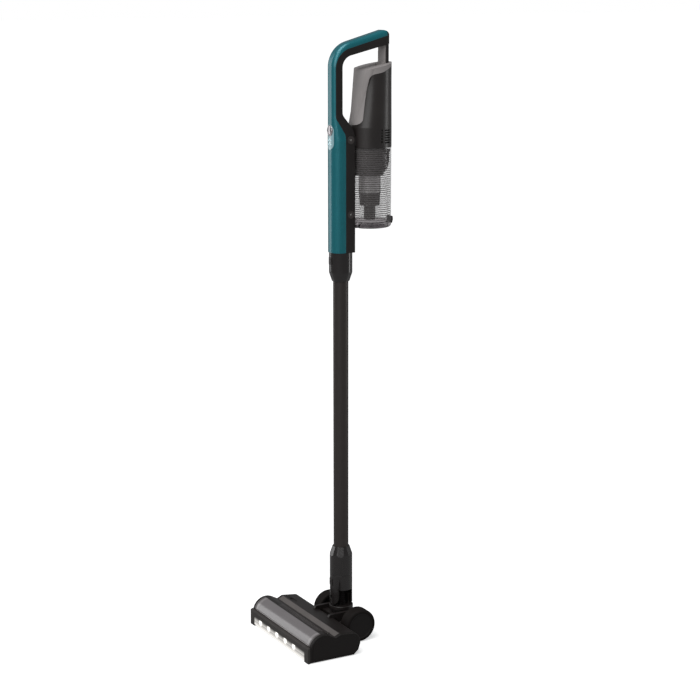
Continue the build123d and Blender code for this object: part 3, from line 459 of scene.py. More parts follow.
@dataclass(frozen=True)
class Fibre(Finish):
    """Felt, foam or brush pile: matt fibres with some sheen."""

    colour: str
    shade: str
    fibre_mm: float = 0.5
    grain: Grain = Grain.EVEN

    def dress(self, tree: Tree, shader: Node, place: Socket) -> None:
        """Noise along the fibres for tone and depth.

        Args:
            tree: the new material's node tree.
            shader: its Principled shader.
            place: object coordinates in metres.
        """
        laid = add_node(tree, "ShaderNodeMapping", {"Vector": place}, {"Scale": self.grain.value})
        hair = add_node(tree, "ShaderNodeTexNoise", {"Vector": laid.outputs["Vector"]},
                        {"Scale": 1 / (self.fibre_mm * MM), "Detail": 5.0, "Roughness": 0.7})
        tree.links.new(ramp(tree, hair.outputs["Fac"], (0.3, self.shade), (0.7, self.colour)),
                       shader.inputs["Base Color"])
        bump = add_node(tree, "ShaderNodeBump", {"Height": hair.outputs["Fac"]},
                        {"Strength": 0.7, "Distance": 0.2 * MM})
        tree.links.new(bump.outputs["Normal"], shader.inputs["Normal"])
        shader.inputs["Roughness"].default_value = 0.95
        shader.inputs["Sheen Weight"].default_value = 0.3


@dataclass(frozen=True)
class PunchedSteel(Finish):
    """Thin steel screen etched with small holes in rows round the upright axis."""

    colour: str
    hole: str
    axis_y_mm: float
    radius_mm: float
    pitch_mm: float = 1.5  # finer in life, drawn as coarse as still shows

    def dress(self, tree: Tree, shader: Node, place: Socket) -> None:
        """Angle and height give the rows; the holes are dark and sunk.

        Args:
            tree: the new material's node tree.
            shader: its Principled shader.
            place: object coordinates in metres.
        """
        centred = add_node(tree, "ShaderNodeMapping", {"Vector": place},
                           {"Location": (0.0, -self.axis_y_mm * MM, 0.0)})
        axes = add_node(tree, "ShaderNodeSeparateXYZ", {"Vector": centred.outputs["Vector"]})
        turn = add_node(tree, "ShaderNodeMath", {0: axes.outputs["Y"], 1: axes.outputs["X"]},
                        operation="ARCTAN2")
        along = add_node(tree, "ShaderNodeMath", {0: turn.outputs["Value"]},
                         {1: self.radius_mm / self.pitch_mm}, operation="MULTIPLY")
        up = add_node(tree, "ShaderNodeMath", {0: axes.outputs["Z"]}, {1: 1 / (self.pitch_mm * MM)},
                      operation="MULTIPLY")
        grid = add_node(tree, "ShaderNodeCombineXYZ",
                        {"X": along.outputs["Value"], "Y": up.outputs["Value"]})
        cells = add_node(tree, "ShaderNodeTexVoronoi", {"Vector": grid.outputs["Vector"]},
                         {"Scale": 1.0, "Randomness": 0.0}, voronoi_dimensions="2D")
        tree.links.new(ramp(tree, cells.outputs["Distance"], (0.26, self.hole), (0.34, self.colour)),
                       shader.inputs["Base Color"])
        bump = add_node(tree, "ShaderNodeBump", {"Height": cells.outputs["Distance"]},
                        {"Strength": 0.5, "Distance": 0.1 * MM})
        tree.links.new(bump.outputs["Normal"], shader.inputs["Normal"])
        shader.inputs["Metallic"].default_value = 0.25
        shader.inputs["Roughness"].default_value = 0.38


# moulded ABS: the black shells look dull and warm, the greys softer, the sockets glossier
BLACK_ABS = MouldedABS("black_moulded_abs", "#221E1D", "#1D1918", roughness=0.38, depth_mm=0.006)
CAP_ABS = MouldedABS("end_cap_abs", "#1C1817", "#171413", roughness=0.5, specular=0.3, depth_mm=0.006)
DARK_GREY_ABS = MouldedABS("dark_grey_abs", "#2E2A29", "#282423", roughness=0.33, specular=0.6,
                           depth_mm=0.005)
LIGHT_GREY_ABS = MouldedABS("light_grey_abs", "#A8A3A2", "#9E9998", roughness=0.5, specular=0.3,
                            depth_mm=0.006)
STRUT_ABS = MouldedABS("strut_grey_abs", "#A19C9A", "#979290", roughness=0.5, specular=0.3)
TRIM_ABS = MouldedABS("trim_grey_abs", "#645F5D", "#5B5755", roughness=0.42, depth_mm=0.006)
FRAME_ABS = MouldedABS("window_frame_abs", "#5C5857", "#545050", roughness=0.35)
BUMPER_ABS = MouldedABS("bumper_grey_abs", "#3A3634", "#34302E", roughness=0.45)
SOCKET_ABS = MouldedABS("socket_black_abs", "#1E1A19", "#191514", roughness=0.24, specular=0.7,
                        depth_mm=0.002, coat=0.3)
KEY_ABS = MouldedABS("small_key_abs", "#2B2726", "#24201F", roughness=0.4)
PLUG_ABS = MouldedABS("plug_grey_abs", "#45403F", "#3D3837", roughness=0.35)
# window lip: a real lip, coloured near-white as a painted highlight along the window's lower edge
LIP_PAINTED_HIGHLIGHT = MouldedABS("window_lip_painted_highlight", "#BDB8B8", "#B0ABAB", roughness=0.25)
RAIL_ABS = MouldedABS("rail_grey_abs", "#4A4645", "#413D3C", roughness=0.3)
LATCH_ABS = MouldedABS("latch_black_abs", "#161211", "#110E0D", roughness=0.35)
SHROUD_ABS = MouldedABS("shroud_dark_abs", "#3B3635", "#332F2E", roughness=0.35)
INNER_ABS = MouldedABS("inner_grey_abs", "#4E4C4C", "#444242", roughness=0.5)
# hard resin and thin skins inside: smooth, with small tight edges
BOARD_RESIN = MouldedABS("board_green_resin", "#1F5A3A", "#184A2F", roughness=0.3, edge_mm=0.15)
WIRE_PVC = MouldedABS("wire_red_pvc", "#7A2A22", "#6A241D", roughness=0.4, edge_mm=0.15)
CELL_WRAP = MouldedABS("cell_blue_shrink_wrap", "#2B5F8C", "#24527A", roughness=0.25, edge_mm=0.3)
BRISTLE_NYLON = MouldedABS("stiff_bristle_nylon", "#1A1A1C", "#131315", roughness=0.35, edge_mm=0.1)
# teal lacquer over flakes: deep colour at the middle, a pale gloss along the edges
TEAL_PAINT = FlakePaint("teal_flake_paint", "#0C7682", "#1B8894", "#076872", edge_mm=1.0)
# metals: a dark satin tube, bright ground pins, a pressed can, and plating on the button
WAND_ALUMINIUM = BareMetal("black_anodised_aluminium", "#4E4947", "#443F3D", roughness=0.36,
                           grain=Grain.DRAWN_UP, metallic=0.6)
GROUND_STEEL = BareMetal("ground_steel", "#B9B7B5", "#A19F9D", roughness=0.25)
MOTOR_STEEL = BareMetal("plated_steel_can", "#9A9898", "#868484", roughness=0.35)
PRESSED_ALUMINIUM = BareMetal("pressed_aluminium", "#C2C2C4", "#AEAEB0", roughness=0.35)
SILVER_PLATING = BareMetal("silver_plated_plastic", "#D6D2D4", "#B8B4B8", roughness=0.2,
                           grain=Grain.DRAWN_UP)
CONTACT_BRASS = BareMetal("contact_brass", "#C9A45A", "#B08C46", roughness=0.25)
# clear plastics: a light see-through cup whose ribs are dark grey as painted shade for the dark lines that
# light bent through them makes, a smoked lid, a milky window
CUP_CLEAR = ClearPlastic("cup_clear_polycarbonate", "#A8A4A5", roughness=0.05, alpha=0.17, passing=0.0)
# ribs: painted shade, dark grey in place of the dark lines that light bent through the clear ribs makes
RIB_PAINTED_REFRACTION_SHADE = ClearPlastic("rib_painted_refraction_shade", "#4A4644", roughness=0.08, alpha=0.36, passing=0.0)
LID_SMOKED = ClearPlastic("lid_smoked_polycarbonate", "#8E8A8C", roughness=0.1)
LENS_TEAL = MouldedABS("lens_teal_acrylic", "#A3C9D0", "#97BEC6", roughness=0.16, specular=0.6,
                       depth_mm=0.002, coat=0.5)
PANE_SMOKED = SmokedWindow("pane_smoked_polycarbonate", "#777374", "#8A8687")
# rubber: almost no shine, so the tyres read as flat black
TYRE_RUBBER = SoftRubber("wheel_tyre_rubber", "#1D1918", "#171413", roughness=0.7, specular=0.12)
HOSE_RUBBER = SoftRubber("hose_rubber", "#1C1818", "#151212", roughness=0.42)
SEAL_RUBBER = SoftRubber("black_seal_rubber", "#1D1A1B", "#161415", roughness=0.6)
BELT_RUBBER = SoftRubber("toothed_belt_rubber", "#1A1918", "#141312", roughness=0.7)
# fibres: matt and soft, and they hide their own form
GLIDE_FELT = Fibre("grey_glide_felt", "#5A5857", "#464443")
PILE_FIBRE = Fibre("brush_pile_fibre", "#3A5F66", "#274A51", fibre_mm=0.4)
FILTER_FOAM = Fibre("filter_foam", "#1B1A1A", "#121111", fibre_mm=1.0)
# etched steel: silver, with rows of dark holes
SCREEN_STEEL = PunchedSteel("punched_steel_screen", "#E6E3E3", "#6A6767", 73.8, 20.0)
# lamps: five soft white spots that fade downwards, and a pale teal glow behind the display; below the lamp
# strip a painted glow, the lamps' light painted where it falls on the base's front
LAMP_LENS = LitLens("lamp_strip_lens", -77.0, 34.3)
# painted light: the lamps' light on the head's front below the lamp strip, as glowing spots and a glow that
# grows brighter downwards
PAINTED_LAMP_GLOW = LitLens("painted_lamp_glow", -77.0, 34.3, top_mm=15.0, bottom_mm=3.0, wash=1.15)
LAMP_WHITE = Lamp("headlamp_white", "#FFFDF6", 2.5)
LAMP_INDICATOR = Lamp("indicator_pale_teal", "#BFE6EC", 0.9)


# ------------------------------------------------------------------ modelling at the bench
class Bench:
    """Operators for shaping one piece at a time."""

    @staticmethod
    def pick(piece: Piece) -> None:
        """Select one piece alone and make it active.

        Args:
            piece: piece to select.
        """
        bpy.ops.object.select_all(action="DESELECT")
        piece.select_set(True)
        bpy.context.view_layer.objects.active = piece

    @staticmethod
    def name(piece_name: str) -> Piece:
        """Name the active object and its mesh.

        Args:
            piece_name: the new name.

        Returns:
            The active object.
        """
        piece = bpy.context.view_layer.objects.active
        piece.name = piece_name
        piece.data.name = piece_name
        return piece

    @staticmethod
    def settle(piece: Piece) -> Piece:
        """Move a piece's place, turn and size into its mesh.

        Args:
            piece: piece to settle.

        Returns:
            The same piece.
        """
        Bench.pick(piece)
        bpy.ops.object.transform_apply(location=True, rotation=True, scale=True)
        return piece

    @staticmethod
    def modify(piece: Piece, kind: str, **settings: object) -> Piece:
        """Add a modifier and apply it.

        Args:
            piece: piece to change.
            kind: Blender's type name of the modifier.
            **settings: properties of the modifier.

        Returns:
            The same piece.
        """
        Bench.pick(piece)
        added = piece.modifiers.new(kind.lower(), kind)
        for key, value in settings.items():
            setattr(added, key, value)
        bpy.ops.object.modifier_apply(modifier=added.name)
        return piece

    @staticmethod
    def smooth(piece: Piece, degrees: float = 35.0) -> Piece:
        """Shade a piece smooth, with its sharper edges kept.

        Args:
            piece: piece to shade.
            degrees: an edge that turns by more than this stays sharp.

        Returns:
            The same piece.
        """
        Bench.pick(piece)
        bpy.ops.object.shade_smooth_by_angle(angle=math.radians(degrees))
        return piece

    @staticmethod
    def block(piece_name: str, low: Point, high: Point, edge: float) -> Piece:
        """Make a block between two corners with rounded edges.

        Args:
            piece_name: name of the piece.
            low: lowest corner in millimetres.
            high: highest corner in millimetres.
            edge: width of the rounding in millimetres.

        Returns:
            The new piece.
        """
        bpy.ops.object.select_all(action="DESELECT")
        middle = [(a + b) / 2 * MM for a, b in zip(low, high)]
        bpy.ops.mesh.primitive_cube_add(size=1.0, location=middle)
        piece = Bench.name(piece_name)
        piece.scale = [(b - a) * MM for a, b in zip(low, high)]
        Bench.settle(piece)
        Bench.modify(piece, "BEVEL", width=edge * MM, segments=3, limit_method="NONE")
        return Bench.smooth(piece, 60.0)

    @staticmethod
    def turned(piece_name: str, centre: Point, axis: Point, outline: Sequence[tuple[float, float]],
               steps: int) -> Piece:
        """Spin an outline about an axis into a closed or tubular solid.

        Args:
            piece_name: name of the piece.
            centre: point on the axis in millimetres.
            axis: direction of the axis, along X, Y or Z.
            outline: (radius, height along the axis) corners in millimetres.
            steps: number of steps in the full turn.

        Returns:
            The new piece.
        """
        along = Vector(axis)
        out = Vector((0, 0, 1)) if abs(along.z) < 0.5 else Vector((1, 0, 0))
        base = Vector(centre)
        places = [(base + out * r + along * h) * MM for r, h in outline]
        bpy.ops.object.select_all(action="DESELECT")
        bpy.ops.mesh.primitive_plane_add(size=0.001, location=(0, 0, 0))
        piece = Bench.name(piece_name)
        bpy.ops.object.mode_set(mode="EDIT")
        bpy.ops.mesh.select_all(action="SELECT")
        bpy.ops.mesh.merge(type="CENTER")
        bpy.ops.transform.translate(value=places[0])
        for before, after in zip(places, places[1:]):
            bpy.ops.mesh.extrude_region_move(TRANSFORM_OT_translate={"value": after - before})
        bpy.ops.mesh.select_all(action="SELECT")
        bpy.ops.mesh.spin(steps=steps, angle=2 * math.pi, center=base * MM, axis=along)
        bpy.ops.mesh.select_all(action="SELECT")
        bpy.ops.mesh.remove_doubles(threshold=1e-6)
        bpy.ops.mesh.normals_make_consistent(inside=False)
        bpy.ops.object.mode_set(mode="OBJECT")
        return Bench.smooth(piece)

    @staticmethod
    def dome(piece_name: str, centre: Point, size: Point, segments: int = 24) -> Piece:
        """Make a smooth rounded lump.

        Args:
            piece_name: name of the piece.
            centre: its middle in millimetres.
            size: its half sizes in millimetres.
            segments: number of steps round it.

        Returns:
            The new piece.
        """
        bpy.ops.object.select_all(action="DESELECT")
        bpy.ops.mesh.primitive_uv_sphere_add(segments=segments, ring_count=segments // 2, radius=1.0,
                                             location=[c * MM for c in centre])
        piece = Bench.name(piece_name)
        piece.scale = [s * MM for s in size]
        Bench.settle(piece)
        return Bench.smooth(piece, 80.0)

    @staticmethod
    def join(piece_name: str, parts: Iterable[Piece]) -> Piece:
        """Join parts into one piece.

        Args:
            piece_name: name of the whole.
            parts: parts to join, which are used up.

        Returns:
            The joined piece.
        """
        group = list(parts)
        Bench.pick(group[0])
        for part in group[1:]:
            part.select_set(True)
        if len(group) > 1:
            bpy.ops.object.join()
        return Bench.name(piece_name)

    @staticmethod
    def copies(piece: Piece, turns: Iterable[Matrix]) -> list[Piece]:
        """Copy a piece, each copy with its own mesh.

        Args:
            piece: piece to copy.
            turns: where each copy goes, as a matrix in metres.

        Returns:
            The copies, without the first piece.
        """
        made = []
        for turn in turns:
            copy = piece.copy()
            copy.data = piece.data.copy()
            bpy.context.scene.collection.objects.link(copy)
            copy.matrix_world = turn
            made.append(Bench.settle(copy))
        return made

    @staticmethod
    def cut(piece: Piece, tool: Piece) -> None:
        """Cut a closed tool out of a piece, and delete the tool.

        Args:
            piece: piece to cut.
            tool: shape to take away.
        """
        Bench.modify(piece, "BOOLEAN", operation="DIFFERENCE", object=tool, solver="EXACT")
        bpy.data.objects.remove(tool)


@dataclass
class SubAssembly:
    """Common to all sub-assemblies: it dresses CAD nodes and hangs new pieces on bodies."""

    body: str

    def finish_nodes(self, choice: dict[str, Finish]) -> None:
        """Give carried-over CAD nodes their finish.

        Args:
            choice: node name to finish.
        """
        for node, finish in choice.items():
            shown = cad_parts[node]
            if not shown.material_slots:
                shown.data.materials.append(None)
            for slot in shown.material_slots:
                slot.material = finish.make()
            LOG.info("dressed %s as %s", node, finish.name)

    def hang(self, piece: Piece, finish: Finish, slot: str, body: str | None = None,
             stands_for: Sequence[str] = ()) -> Piece:
        """Finish a new piece and let it ride on its body.

        Args:
            piece: the new piece.
            finish: its surface.
            slot: not used.
            body: body it rides on, if it isn't the sub-assembly's own.
            stands_for: CAD nodes that it stands for.

        Returns:
            The same piece.
        """
        piece.data.materials.clear()
        piece.data.materials.append(finish.make())
        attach(piece, body or self.body)
        if stands_for:
            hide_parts(*stands_for)
        LOG.info("made %s as %s", piece.name, finish.name)
        return piece


# ------------------------------------------------------------------ floor head
@dataclass
class FloorHead(SubAssembly):
    """Head with its window, trim, bumper, lamps and rails."""

    body: str = "head"
    brush_y: float = -87.2
    brush_z: float = 23.4
    lobe: float = 27.2
    lamp_first: float = -77.0
    lamp_pitch: float = 34.3
    lamp_count: int = 5
    lamp_z: float = 14.8
    lamp_y: float = -118.6
    lamp_half: Point = (1.9, 0.5, 1.6)
    rail_angles: tuple[float, ...] = (91.0, 86.0, 81.0, 76.0, 71.0)
    rail_left: float = -60.0
    rail_right: float = 98.0
    rail_half: float = 0.5
    catch_at: Point = (103.0, -70.5, 45.0)
    lip_angle: float = 163.0
    lip_half: float = 107.5
    painted_glow_low: Point = (-103.0, -118.9, 3.4)
    painted_glow_high: Point = (103.0, -118.2, 11.2)

    def build(self) -> None:
        """Dress the shells and add the lamps, the rails, the catch, the lip painted near-white as a
        highlight, and a strip of painted lamp light below the lamps.
        """
        self.finish_nodes({
            "head_base": BLACK_ABS, "head_top_cover": BLACK_ABS, "trim_strip": TRIM_ABS,
            "brush_window": PANE_SMOKED, "window_frame": FRAME_ABS, "end_cap_left": CAP_ABS,
            "end_cap_right": CAP_ABS, "front_bumper": BUMPER_ABS, "led_lens": LAMP_LENS,
            "led_board": BOARD_RESIN, "brush_bearings": GROUND_STEEL, "brush_motor": MOTOR_STEEL,
            "drive_belt": BELT_RUBBER, "air_duct": INNER_ABS, "glide_pads": GLIDE_FELT,
            "head_screws": GROUND_STEEL, "carriage": BLACK_ABS, "axle_pins": GROUND_STEEL,
            "release_slider": KEY_ABS,
        })
        self.add_lamps()
        self.add_rails()
        self.add_lip()

    def on_lobe(self, degrees: float, proud: float = 0.0) -> tuple[float, float]:
        """Find a place on the lobe's surface.

        Args:
            degrees: angle about the brush, from the rear upwards.
            proud: height above the surface in millimetres.

        Returns:
            Y and Z in millimetres.
        """
        angle = math.radians(degrees)
        reach = self.lobe + proud
        return self.brush_y + reach * math.cos(angle), self.brush_z + reach * math.sin(angle)

    def add_lamps(self) -> None:
        """Add the row of lamps in the strip under the bumper."""
        first = Bench.dome("headlamps", (self.lamp_first, self.lamp_y, self.lamp_z), self.lamp_half)
        steps = [Matrix.Translation((self.lamp_pitch * i * MM, 0, 0)) for i in range(1, self.lamp_count)]
        lamps = Bench.join("headlamps", [first, *Bench.copies(first, steps)])
        self.hang(lamps, LAMP_WHITE, "led_clear")

    def add_rails(self) -> None:
        """Add the raised rails on the strip between the window and the trim, and the catch at their end."""
        rails = []
        for degrees in self.rail_angles:
            y, z = self.on_lobe(degrees, 0.1)
            rails.append(Bench.block("rail", (self.rail_left, y - self.rail_half, z - self.rail_half),
                                     (self.rail_right, y + self.rail_half, z + 0.55), 0.3))
        self.hang(Bench.join("strip_rails", rails), RAIL_ABS, "plug_grey")
        catch = Bench.turned("strip_catch", self.catch_at, (0, 0, 1),
                             [(2.2, -1.0), (2.2, 1.4), (2.6, 1.8), (3.6, 1.8), (4.0, 1.4), (4.0, -1.0)], 32)
        self.hang(catch, BUMPER_ABS, "bumper_grey")

    def add_lip(self) -> None:
        """Add the thin lip along the window's lower edge, painted near-white as a highlight, and below the
        lamps a strip that glows as painted light, the lamps' light on the base's front.
        """
        y, z = self.on_lobe(self.lip_angle, 0.1)
        # the lip's near-white colour is a painted highlight along the window's lower edge
        lip = Bench.block("window_lip", (-self.lip_half, y - 0.35, z - 0.45),
                          (self.lip_half, y + 0.5, z + 0.45), 0.3)
        self.hang(lip, LIP_PAINTED_HIGHLIGHT, "frame_grey")
        # painted light: a glowing strip standing in for the lamps' light where it falls on the base's front
        painted_glow_strip = Bench.block("painted_lamp_glow_strip", self.painted_glow_low, self.painted_glow_high, 0.25)
        self.hang(painted_glow_strip, PAINTED_LAMP_GLOW, "led_clear")


@dataclass
class BrushRoller(SubAssembly):
    """Roller with its core, pile, bristles and axle."""

    body: str = "brush"

    def build(self) -> None:
        """Dress the roller and the motor's pulley."""
        self.finish_nodes({"brush_core": INNER_ABS, "brush_axle": GROUND_STEEL, "brush_pile": PILE_FIBRE,
                           "bristle_strips": BRISTLE_NYLON, "motor_pulley": GROUND_STEEL})


@dataclass
class Wheels(SubAssembly):
    """The two rear wheels."""

    body: str = "wheel_right"

    def build(self) -> None:
        """Dress both wheels."""
        self.finish_nodes({"wheel_rim_left": CAP_ABS, "wheel_rim_right": CAP_ABS,
                           "wheel_tyre_left": TYRE_RUBBER, "wheel_tyre_right": TYRE_RUBBER})


@dataclass
class Stem(SubAssembly):
    """Elbow, neck and wand."""

    body: str = "neck"

    def build(self) -> None:
        """Dress the stem."""
        self.finish_nodes({"elbow": BLACK_ABS, "flex_hose": HOSE_RUBBER, "neck_socket": SOCKET_ABS,
                           "neck_button": KEY_ABS, "wand_tube": WAND_ALUMINIUM, "wand_end_rings": INNER_ABS,
                           "wand_wiring": WIRE_PVC})


@dataclass
class HandUnit(SubAssembly):
    """Boom, handle loop and canister."""

    body: str = "hand_unit"
    button_z: float = 947.6
    front_y: float = -8.0
    lamp_z: float = 932.5
    plug_x: float = 19.3
    plug_y: float = 24.2
    plug_z: float = 797.0
    plug_gap: float = 134.0
    slot_half: float = 1.1
    socket_y: float = 86.5
    socket_top: float = 1057.6
    pin_half_gap: float = 3.4

    def build(self) -> None:
        """Dress the shells, and add the button's dome, the display's lamps, the screws and the socket."""
        self.finish_nodes({
            "boom_socket": SOCKET_ABS, "front_shell": TEAL_PAINT, "rear_shell": BLACK_ABS,
            "strut_strip": STRUT_ABS,
            "display_lens": LENS_TEAL, "control_board": BOARD_RESIN, "spine_plugs": PLUG_ABS,
            "suction_duct": INNER_ABS, "inlet_gasket": SEAL_RUBBER, "motor_housing": DARK_GREY_ABS,
            "housing_cover": LIGHT_GREY_ABS, "motor_can": PRESSED_ALUMINIUM, "exhaust_filter": FILTER_FOAM,
            "battery_cells": CELL_WRAP, "boom_button": KEY_ABS, "power_button": SILVER_PLATING,
            "fan_rotor": PRESSED_ALUMINIUM,
        })
        self.add_button_dome()
        self.add_indicators()
        self.add_spine_screws()
        self.add_charging_socket()

    def add_button_dome(self) -> None:
        """Add the domed silver cap with a raised rim on the power button."""
        dome = Bench.dome("power_button_dome", (0, self.front_y - 0.2, self.button_z), (7.9, 1.9, 8.2), 40)
        ring = Bench.turned("power_button_ring", (0, self.front_y, self.button_z), (0, 1, 0),
                            [(8.1, -0.2), (8.1, -1.0), (8.5, -1.35), (8.9, -1.0), (8.9, -0.2)], 64)
        cap = Bench.join("power_button_dome", [dome, ring])
        self.hang(cap, SILVER_PLATING, "silver_plastic", body="power_button")

    def add_indicators(self) -> None:
        """Add the column of small lamps behind the display lens."""
        first = Bench.dome("display_lamps", (0, self.front_y - 0.15, self.lamp_z), (1.1, 0.35, 1.1), 12)
        places = [(-4.2, -2.2), (4.2, -2.2), (0, -6.4), (-4.2, -9.0), (4.2, -9.0)]
        moves = [Matrix.Translation((x * MM, 0, z * MM)) for x, z in places]
        lamps = Bench.join("display_lamps", [first, *Bench.copies(first, moves)])
        self.hang(lamps, LAMP_INDICATOR, "lens_teal")

    def add_spine_screws(self) -> None:
        """Add a cross-head screw in each side plug of the spine."""
        head = Bench.turned("spine_screws", (self.plug_x, self.plug_y, self.plug_z), (1, 0, 0),
                            [(0.0, -0.2), (2.0, -0.2), (2.0, 0.35), (1.5, 0.7), (0.0, 0.8)], 32)
        for turn in (0.0, 90.0):
            bar = Bench.block("slot", (self.plug_x + 0.6, self.plug_y - 0.25, self.plug_z - self.slot_half),
                              (self.plug_x + 1.1, self.plug_y + 0.25, self.plug_z + self.slot_half), 0.08)
            Bench.pick(bar)
            bpy.ops.object.origin_set(type="ORIGIN_GEOMETRY")
            bar.rotation_euler = (math.radians(turn), 0, 0)
            Bench.settle(bar)
            Bench.cut(head, bar)
        moved = Bench.copies(head, [Matrix.Translation((0, 0, self.plug_gap * MM))])
        self.hang(Bench.join("spine_screws", [head, *moved]), GROUND_STEEL, "screw_steel")

    def add_charging_socket(self) -> None:
        """Add the charging socket with its two pins in the recess before the strut."""
        well = Bench.block("charging_socket", (-7.9, self.socket_y - 4.4, self.socket_top - 3.6),
                           (7.9, self.socket_y + 4.4, self.socket_top), 0.6)
        rounded = [(0, 0), (1.1, 0), (1.1, 1.6), (0.6, 2.2), (0, 2.3)]
        pins = [Bench.turned("pin", (x, self.socket_y, self.socket_top - 0.2), (0, 0, 1), rounded, 20)
                for x in (-self.pin_half_gap, self.pin_half_gap)]
        self.hang(well, LATCH_ABS, "dark_grey_shell")
        self.hang(Bench.join("charging_pins", pins), CONTACT_BRASS, "screw_steel")


@dataclass
class DustCup(SubAssembly):
    """Clear ribbed cup, cyclone and lid."""

    body: str = "cup"
    axis_y: float = 73.8
    outer: float = 39.0
    crest: float = 39.5
    inner: float = 37.4
    low: float = 780.3
    high: float = 915.2
    hinge_z: float = 774.5
    rib_pitch: float = 3.85
    rib_half: float = 0.75
    rib_crest_half: float = 0.55
    steps: int = 96

    def build(self) -> None:
        """Dress the inner parts and replace the plain cup with a ribbed one."""
        self.finish_nodes({"dust_cup": CUP_CLEAR, "shroud": SHROUD_ABS, "mesh_screen": SCREEN_STEEL,
                           "cyclone_cone": SHROUD_ABS, "inlet_block": SHROUD_ABS,
                           "premotor_filter": FILTER_FOAM, "cup_lid": LID_SMOKED, "lid_latch": LATCH_ABS})
        self.add_ribbed_wall()

    def add_ribbed_wall(self) -> None:
        """Spin the cup's clear wall, and add its ears, its latch posts and its rows of fine ribs."""
        outline = [(self.inner, self.low), (self.outer - 0.4, self.low), (self.outer, self.low + 0.4),
                   (self.outer, self.high), (self.inner, self.high), (self.inner, self.low)]
        parts = [Bench.turned("cup_wall", (0, self.axis_y, 0), (0, 0, 1), outline, self.steps)]
        for side in (-1, 1):
            near, far = sorted((side * 11.2, side * 18.8))
            parts.append(Bench.block("ear", (near, self.axis_y - 36.6, self.hinge_z - 2.6),
                                     (far, self.axis_y - 30.6, self.low + 3.0), 0.8))
            near, far = sorted((side * 7.0, side * 9.3))
            parts.append(Bench.block("post", (near, self.axis_y + 38.4, 780.9),
                                     (far, self.axis_y + 44.4, 788.1), 0.6))
        self.hang(Bench.join("cup_wall", parts), CUP_CLEAR, "clear_cup", stands_for=("dust_cup",))
        root, shoulder = self.outer + 0.02, self.crest - 0.1
        profile = [(root, -self.rib_half), (shoulder, -self.rib_crest_half), (self.crest, 0.0),
                   (shoulder, self.rib_crest_half), (root, self.rib_half), (root, -self.rib_half)]
        rib = Bench.turned("cup_ribs", (0, self.axis_y, self.low + 1.8), (0, 0, 1), profile, self.steps)
        count = int((self.high - self.low - 3.0) / self.rib_pitch)
        steps = [Matrix.Translation((0, 0, self.rib_pitch * i * MM)) for i in range(1, count + 1)]
        ribs = Bench.join("cup_ribs", [rib, *Bench.copies(rib, steps)])
        # the ribs carry painted shade: dark grey for the lines that bent light makes
        self.hang(ribs, RIB_PAINTED_REFRACTION_SHADE, "clear_cup")


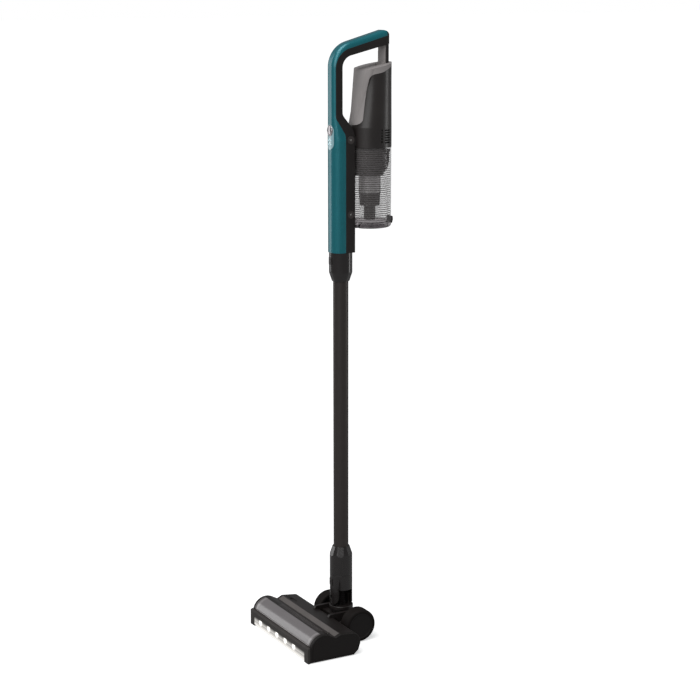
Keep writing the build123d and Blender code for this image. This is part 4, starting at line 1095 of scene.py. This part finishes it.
# ------------------------------------------------------------------ studio
@dataclass
class Studio:
    """Pale floor, soft lights and the camera."""

    aim: Point = (0.0082, 0.0285, 0.5456)
    azimuth: float = 61.0
    elevation: float = 12.13
    distance: float = 3.241
    lens: float = 90.8

    def toward(self, azimuth: float, elevation: float) -> Vector:
        """Find a direction from the object.

        Args:
            azimuth: angle from the front towards +X, in degrees.
            elevation: angle above the floor, in degrees.

        Returns:
            The direction, one metre long.
        """
        turn, lift = math.radians(azimuth), math.radians(elevation)
        return Vector((math.sin(turn) * math.cos(lift), -math.cos(turn) * math.cos(lift), math.sin(lift)))

    def build(self) -> None:
        """Set up the whole studio."""
        self.add_camera()
        self.add_floor()
        self.add_world()
        # angles are from the front, towards +X
        self.add_softbox("front_softbox", 38.0, 30.0, 3.0, (2.0, 2.4), 1.9)
        self.add_softbox("right_strip", 160.0, 14.0, 2.4, (0.5, 2.2), 2.6)
        self.add_softbox("left_strip", -58.0, 14.0, 2.6, (0.6, 2.4), 1.6)
        self.add_sky_light("high_light", 15.0, 68.0, 45.0, 1.5)
        bpy.context.scene.view_settings.view_transform = "Standard"

    def add_camera(self) -> None:
        """Place the camera."""
        data = bpy.data.cameras.new("camera")
        data.lens = self.lens
        data.sensor_width = 36.0
        camera = bpy.data.objects.new("camera", data)
        bpy.context.scene.collection.objects.link(camera)
        back = self.toward(self.azimuth, self.elevation)
        camera.location = Vector(self.aim) + back * self.distance
        camera.rotation_euler = (-back).to_track_quat("-Z", "Y").to_euler()
        bpy.context.scene.camera = camera

    def add_floor(self) -> None:
        """Lay the floor: a wide pale plane, bright to the eye and gentler as light."""
        bpy.ops.object.select_all(action="DESELECT")
        bpy.ops.mesh.primitive_plane_add(size=80.0, location=(0, 0, -0.0002))
        floor = Bench.name("floor")
        Bench.settle(floor)
        made = bpy.data.materials.new("pale_floor")
        made.use_nodes = True
        tree = made.node_tree
        shown = tree.nodes["Principled BSDF"]
        for socket, value in (("Base Color", linear("#F8F8F8")), ("Roughness", 0.7),
                              ("Specular IOR Level", 0.1), ("Emission Color", linear("#FFFFFF")),
                              ("Emission Strength", 0.5)):
            shown.inputs[socket].default_value = value
        dim = add_node(tree, "ShaderNodeBsdfDiffuse", inputs={"Color": linear("#9C9C9C")})
        mix = add_node(tree, "ShaderNodeMixShader", {0: self.seen(tree), 1: dim.outputs["BSDF"],
                                                     2: shown.outputs["BSDF"]})
        tree.links.new(mix.outputs["Shader"], tree.nodes["Material Output"].inputs["Surface"])
        floor.data.materials.append(made)

    def seen(self, tree: Tree) -> Socket:
        """Tell what is seen directly or through clear plastic from light and reflections.

        Args:
            tree: node tree that gets the test.

        Returns:
            An output that is 1 where something is seen, and 0 otherwise.
        """
        path = add_node(tree, "ShaderNodeLightPath")
        either = add_node(tree, "ShaderNodeMath",
                          {0: path.outputs["Is Camera Ray"], 1: path.outputs["Is Transmission Ray"]},
                          operation="MAXIMUM")
        return either.outputs["Value"]

    def add_world(self) -> None:
        """White surroundings: bright to the eye, gentler as light."""
        world = bpy.data.worlds.new("surroundings")
        bpy.context.scene.world = world
        world.use_nodes = True
        tree = world.node_tree
        backdrop = tree.nodes["Background"]
        backdrop.inputs["Color"].default_value = linear("#FFFFFF")
        backdrop.inputs["Strength"].default_value = 1.0
        light = add_node(tree, "ShaderNodeBackground", inputs={"Color": linear("#F7F8FA"), "Strength": 0.2})
        mix = add_node(tree, "ShaderNodeMixShader", {0: self.seen(tree), 1: light.outputs["Background"],
                                                     2: backdrop.outputs["Background"]})
        tree.links.new(mix.outputs["Shader"], tree.nodes["World Output"].inputs["Surface"])

    def add_softbox(self, light_name: str, azimuth: float, elevation: float, distance: float,
                    size: tuple[float, float], radiance: float) -> None:
        """Hang one soft box aimed at the middle of the object.

        Args:
            light_name: name of the light.
            azimuth: angle from the front towards +X, in degrees.
            elevation: angle above the floor, in degrees.
            distance: metres from the object.
            size: width and height in metres.
            radiance: how bright its face is, where white paper in full light is about 1.
        """
        data = bpy.data.lights.new(light_name, "AREA")
        data.shape = "RECTANGLE"
        data.size, data.size_y = size
        data.energy = radiance * math.pi * size[0] * size[1]
        self.aim_light(data, azimuth, elevation, distance)

    def add_sky_light(self, light_name: str, azimuth: float, elevation: float, spread: float,
                      strength: float) -> None:
        """Add a wide, even light from far away.

        Args:
            light_name: name of the light.
            azimuth: angle from the front towards +X, in degrees.
            elevation: angle above the floor, in degrees.
            spread: how wide it looks, in degrees.
            strength: light on a surface that faces it.
        """
        data = bpy.data.lights.new(light_name, "SUN")
        data.angle = math.radians(spread)
        data.energy = strength
        self.aim_light(data, azimuth, elevation, 3.0)

    def aim_light(self, data: bpy.types.Light, azimuth: float, elevation: float, distance: float) -> None:
        """Place a light and turn it to the middle of the object.

        Args:
            data: the light.
            azimuth: angle from the front towards +X, in degrees.
            elevation: angle above the floor, in degrees.
            distance: metres from the object.
        """
        light = bpy.data.objects.new(data.name, data)
        bpy.context.scene.collection.objects.link(light)
        back = self.toward(azimuth, elevation)
        light.location = Vector(self.aim) + back * distance
        light.rotation_euler = (-back).to_track_quat("-Z", "Y").to_euler()


def main() -> None:
    """Build everything in order."""
    logging.basicConfig(level=logging.INFO, format="%(name)s: %(message)s")
    for part in (FloorHead(), BrushRoller(), Wheels(), Stem(), HandUnit(), DustCup()):
        part.build()
    Studio().build()


if __name__ == "__main__":
    main()
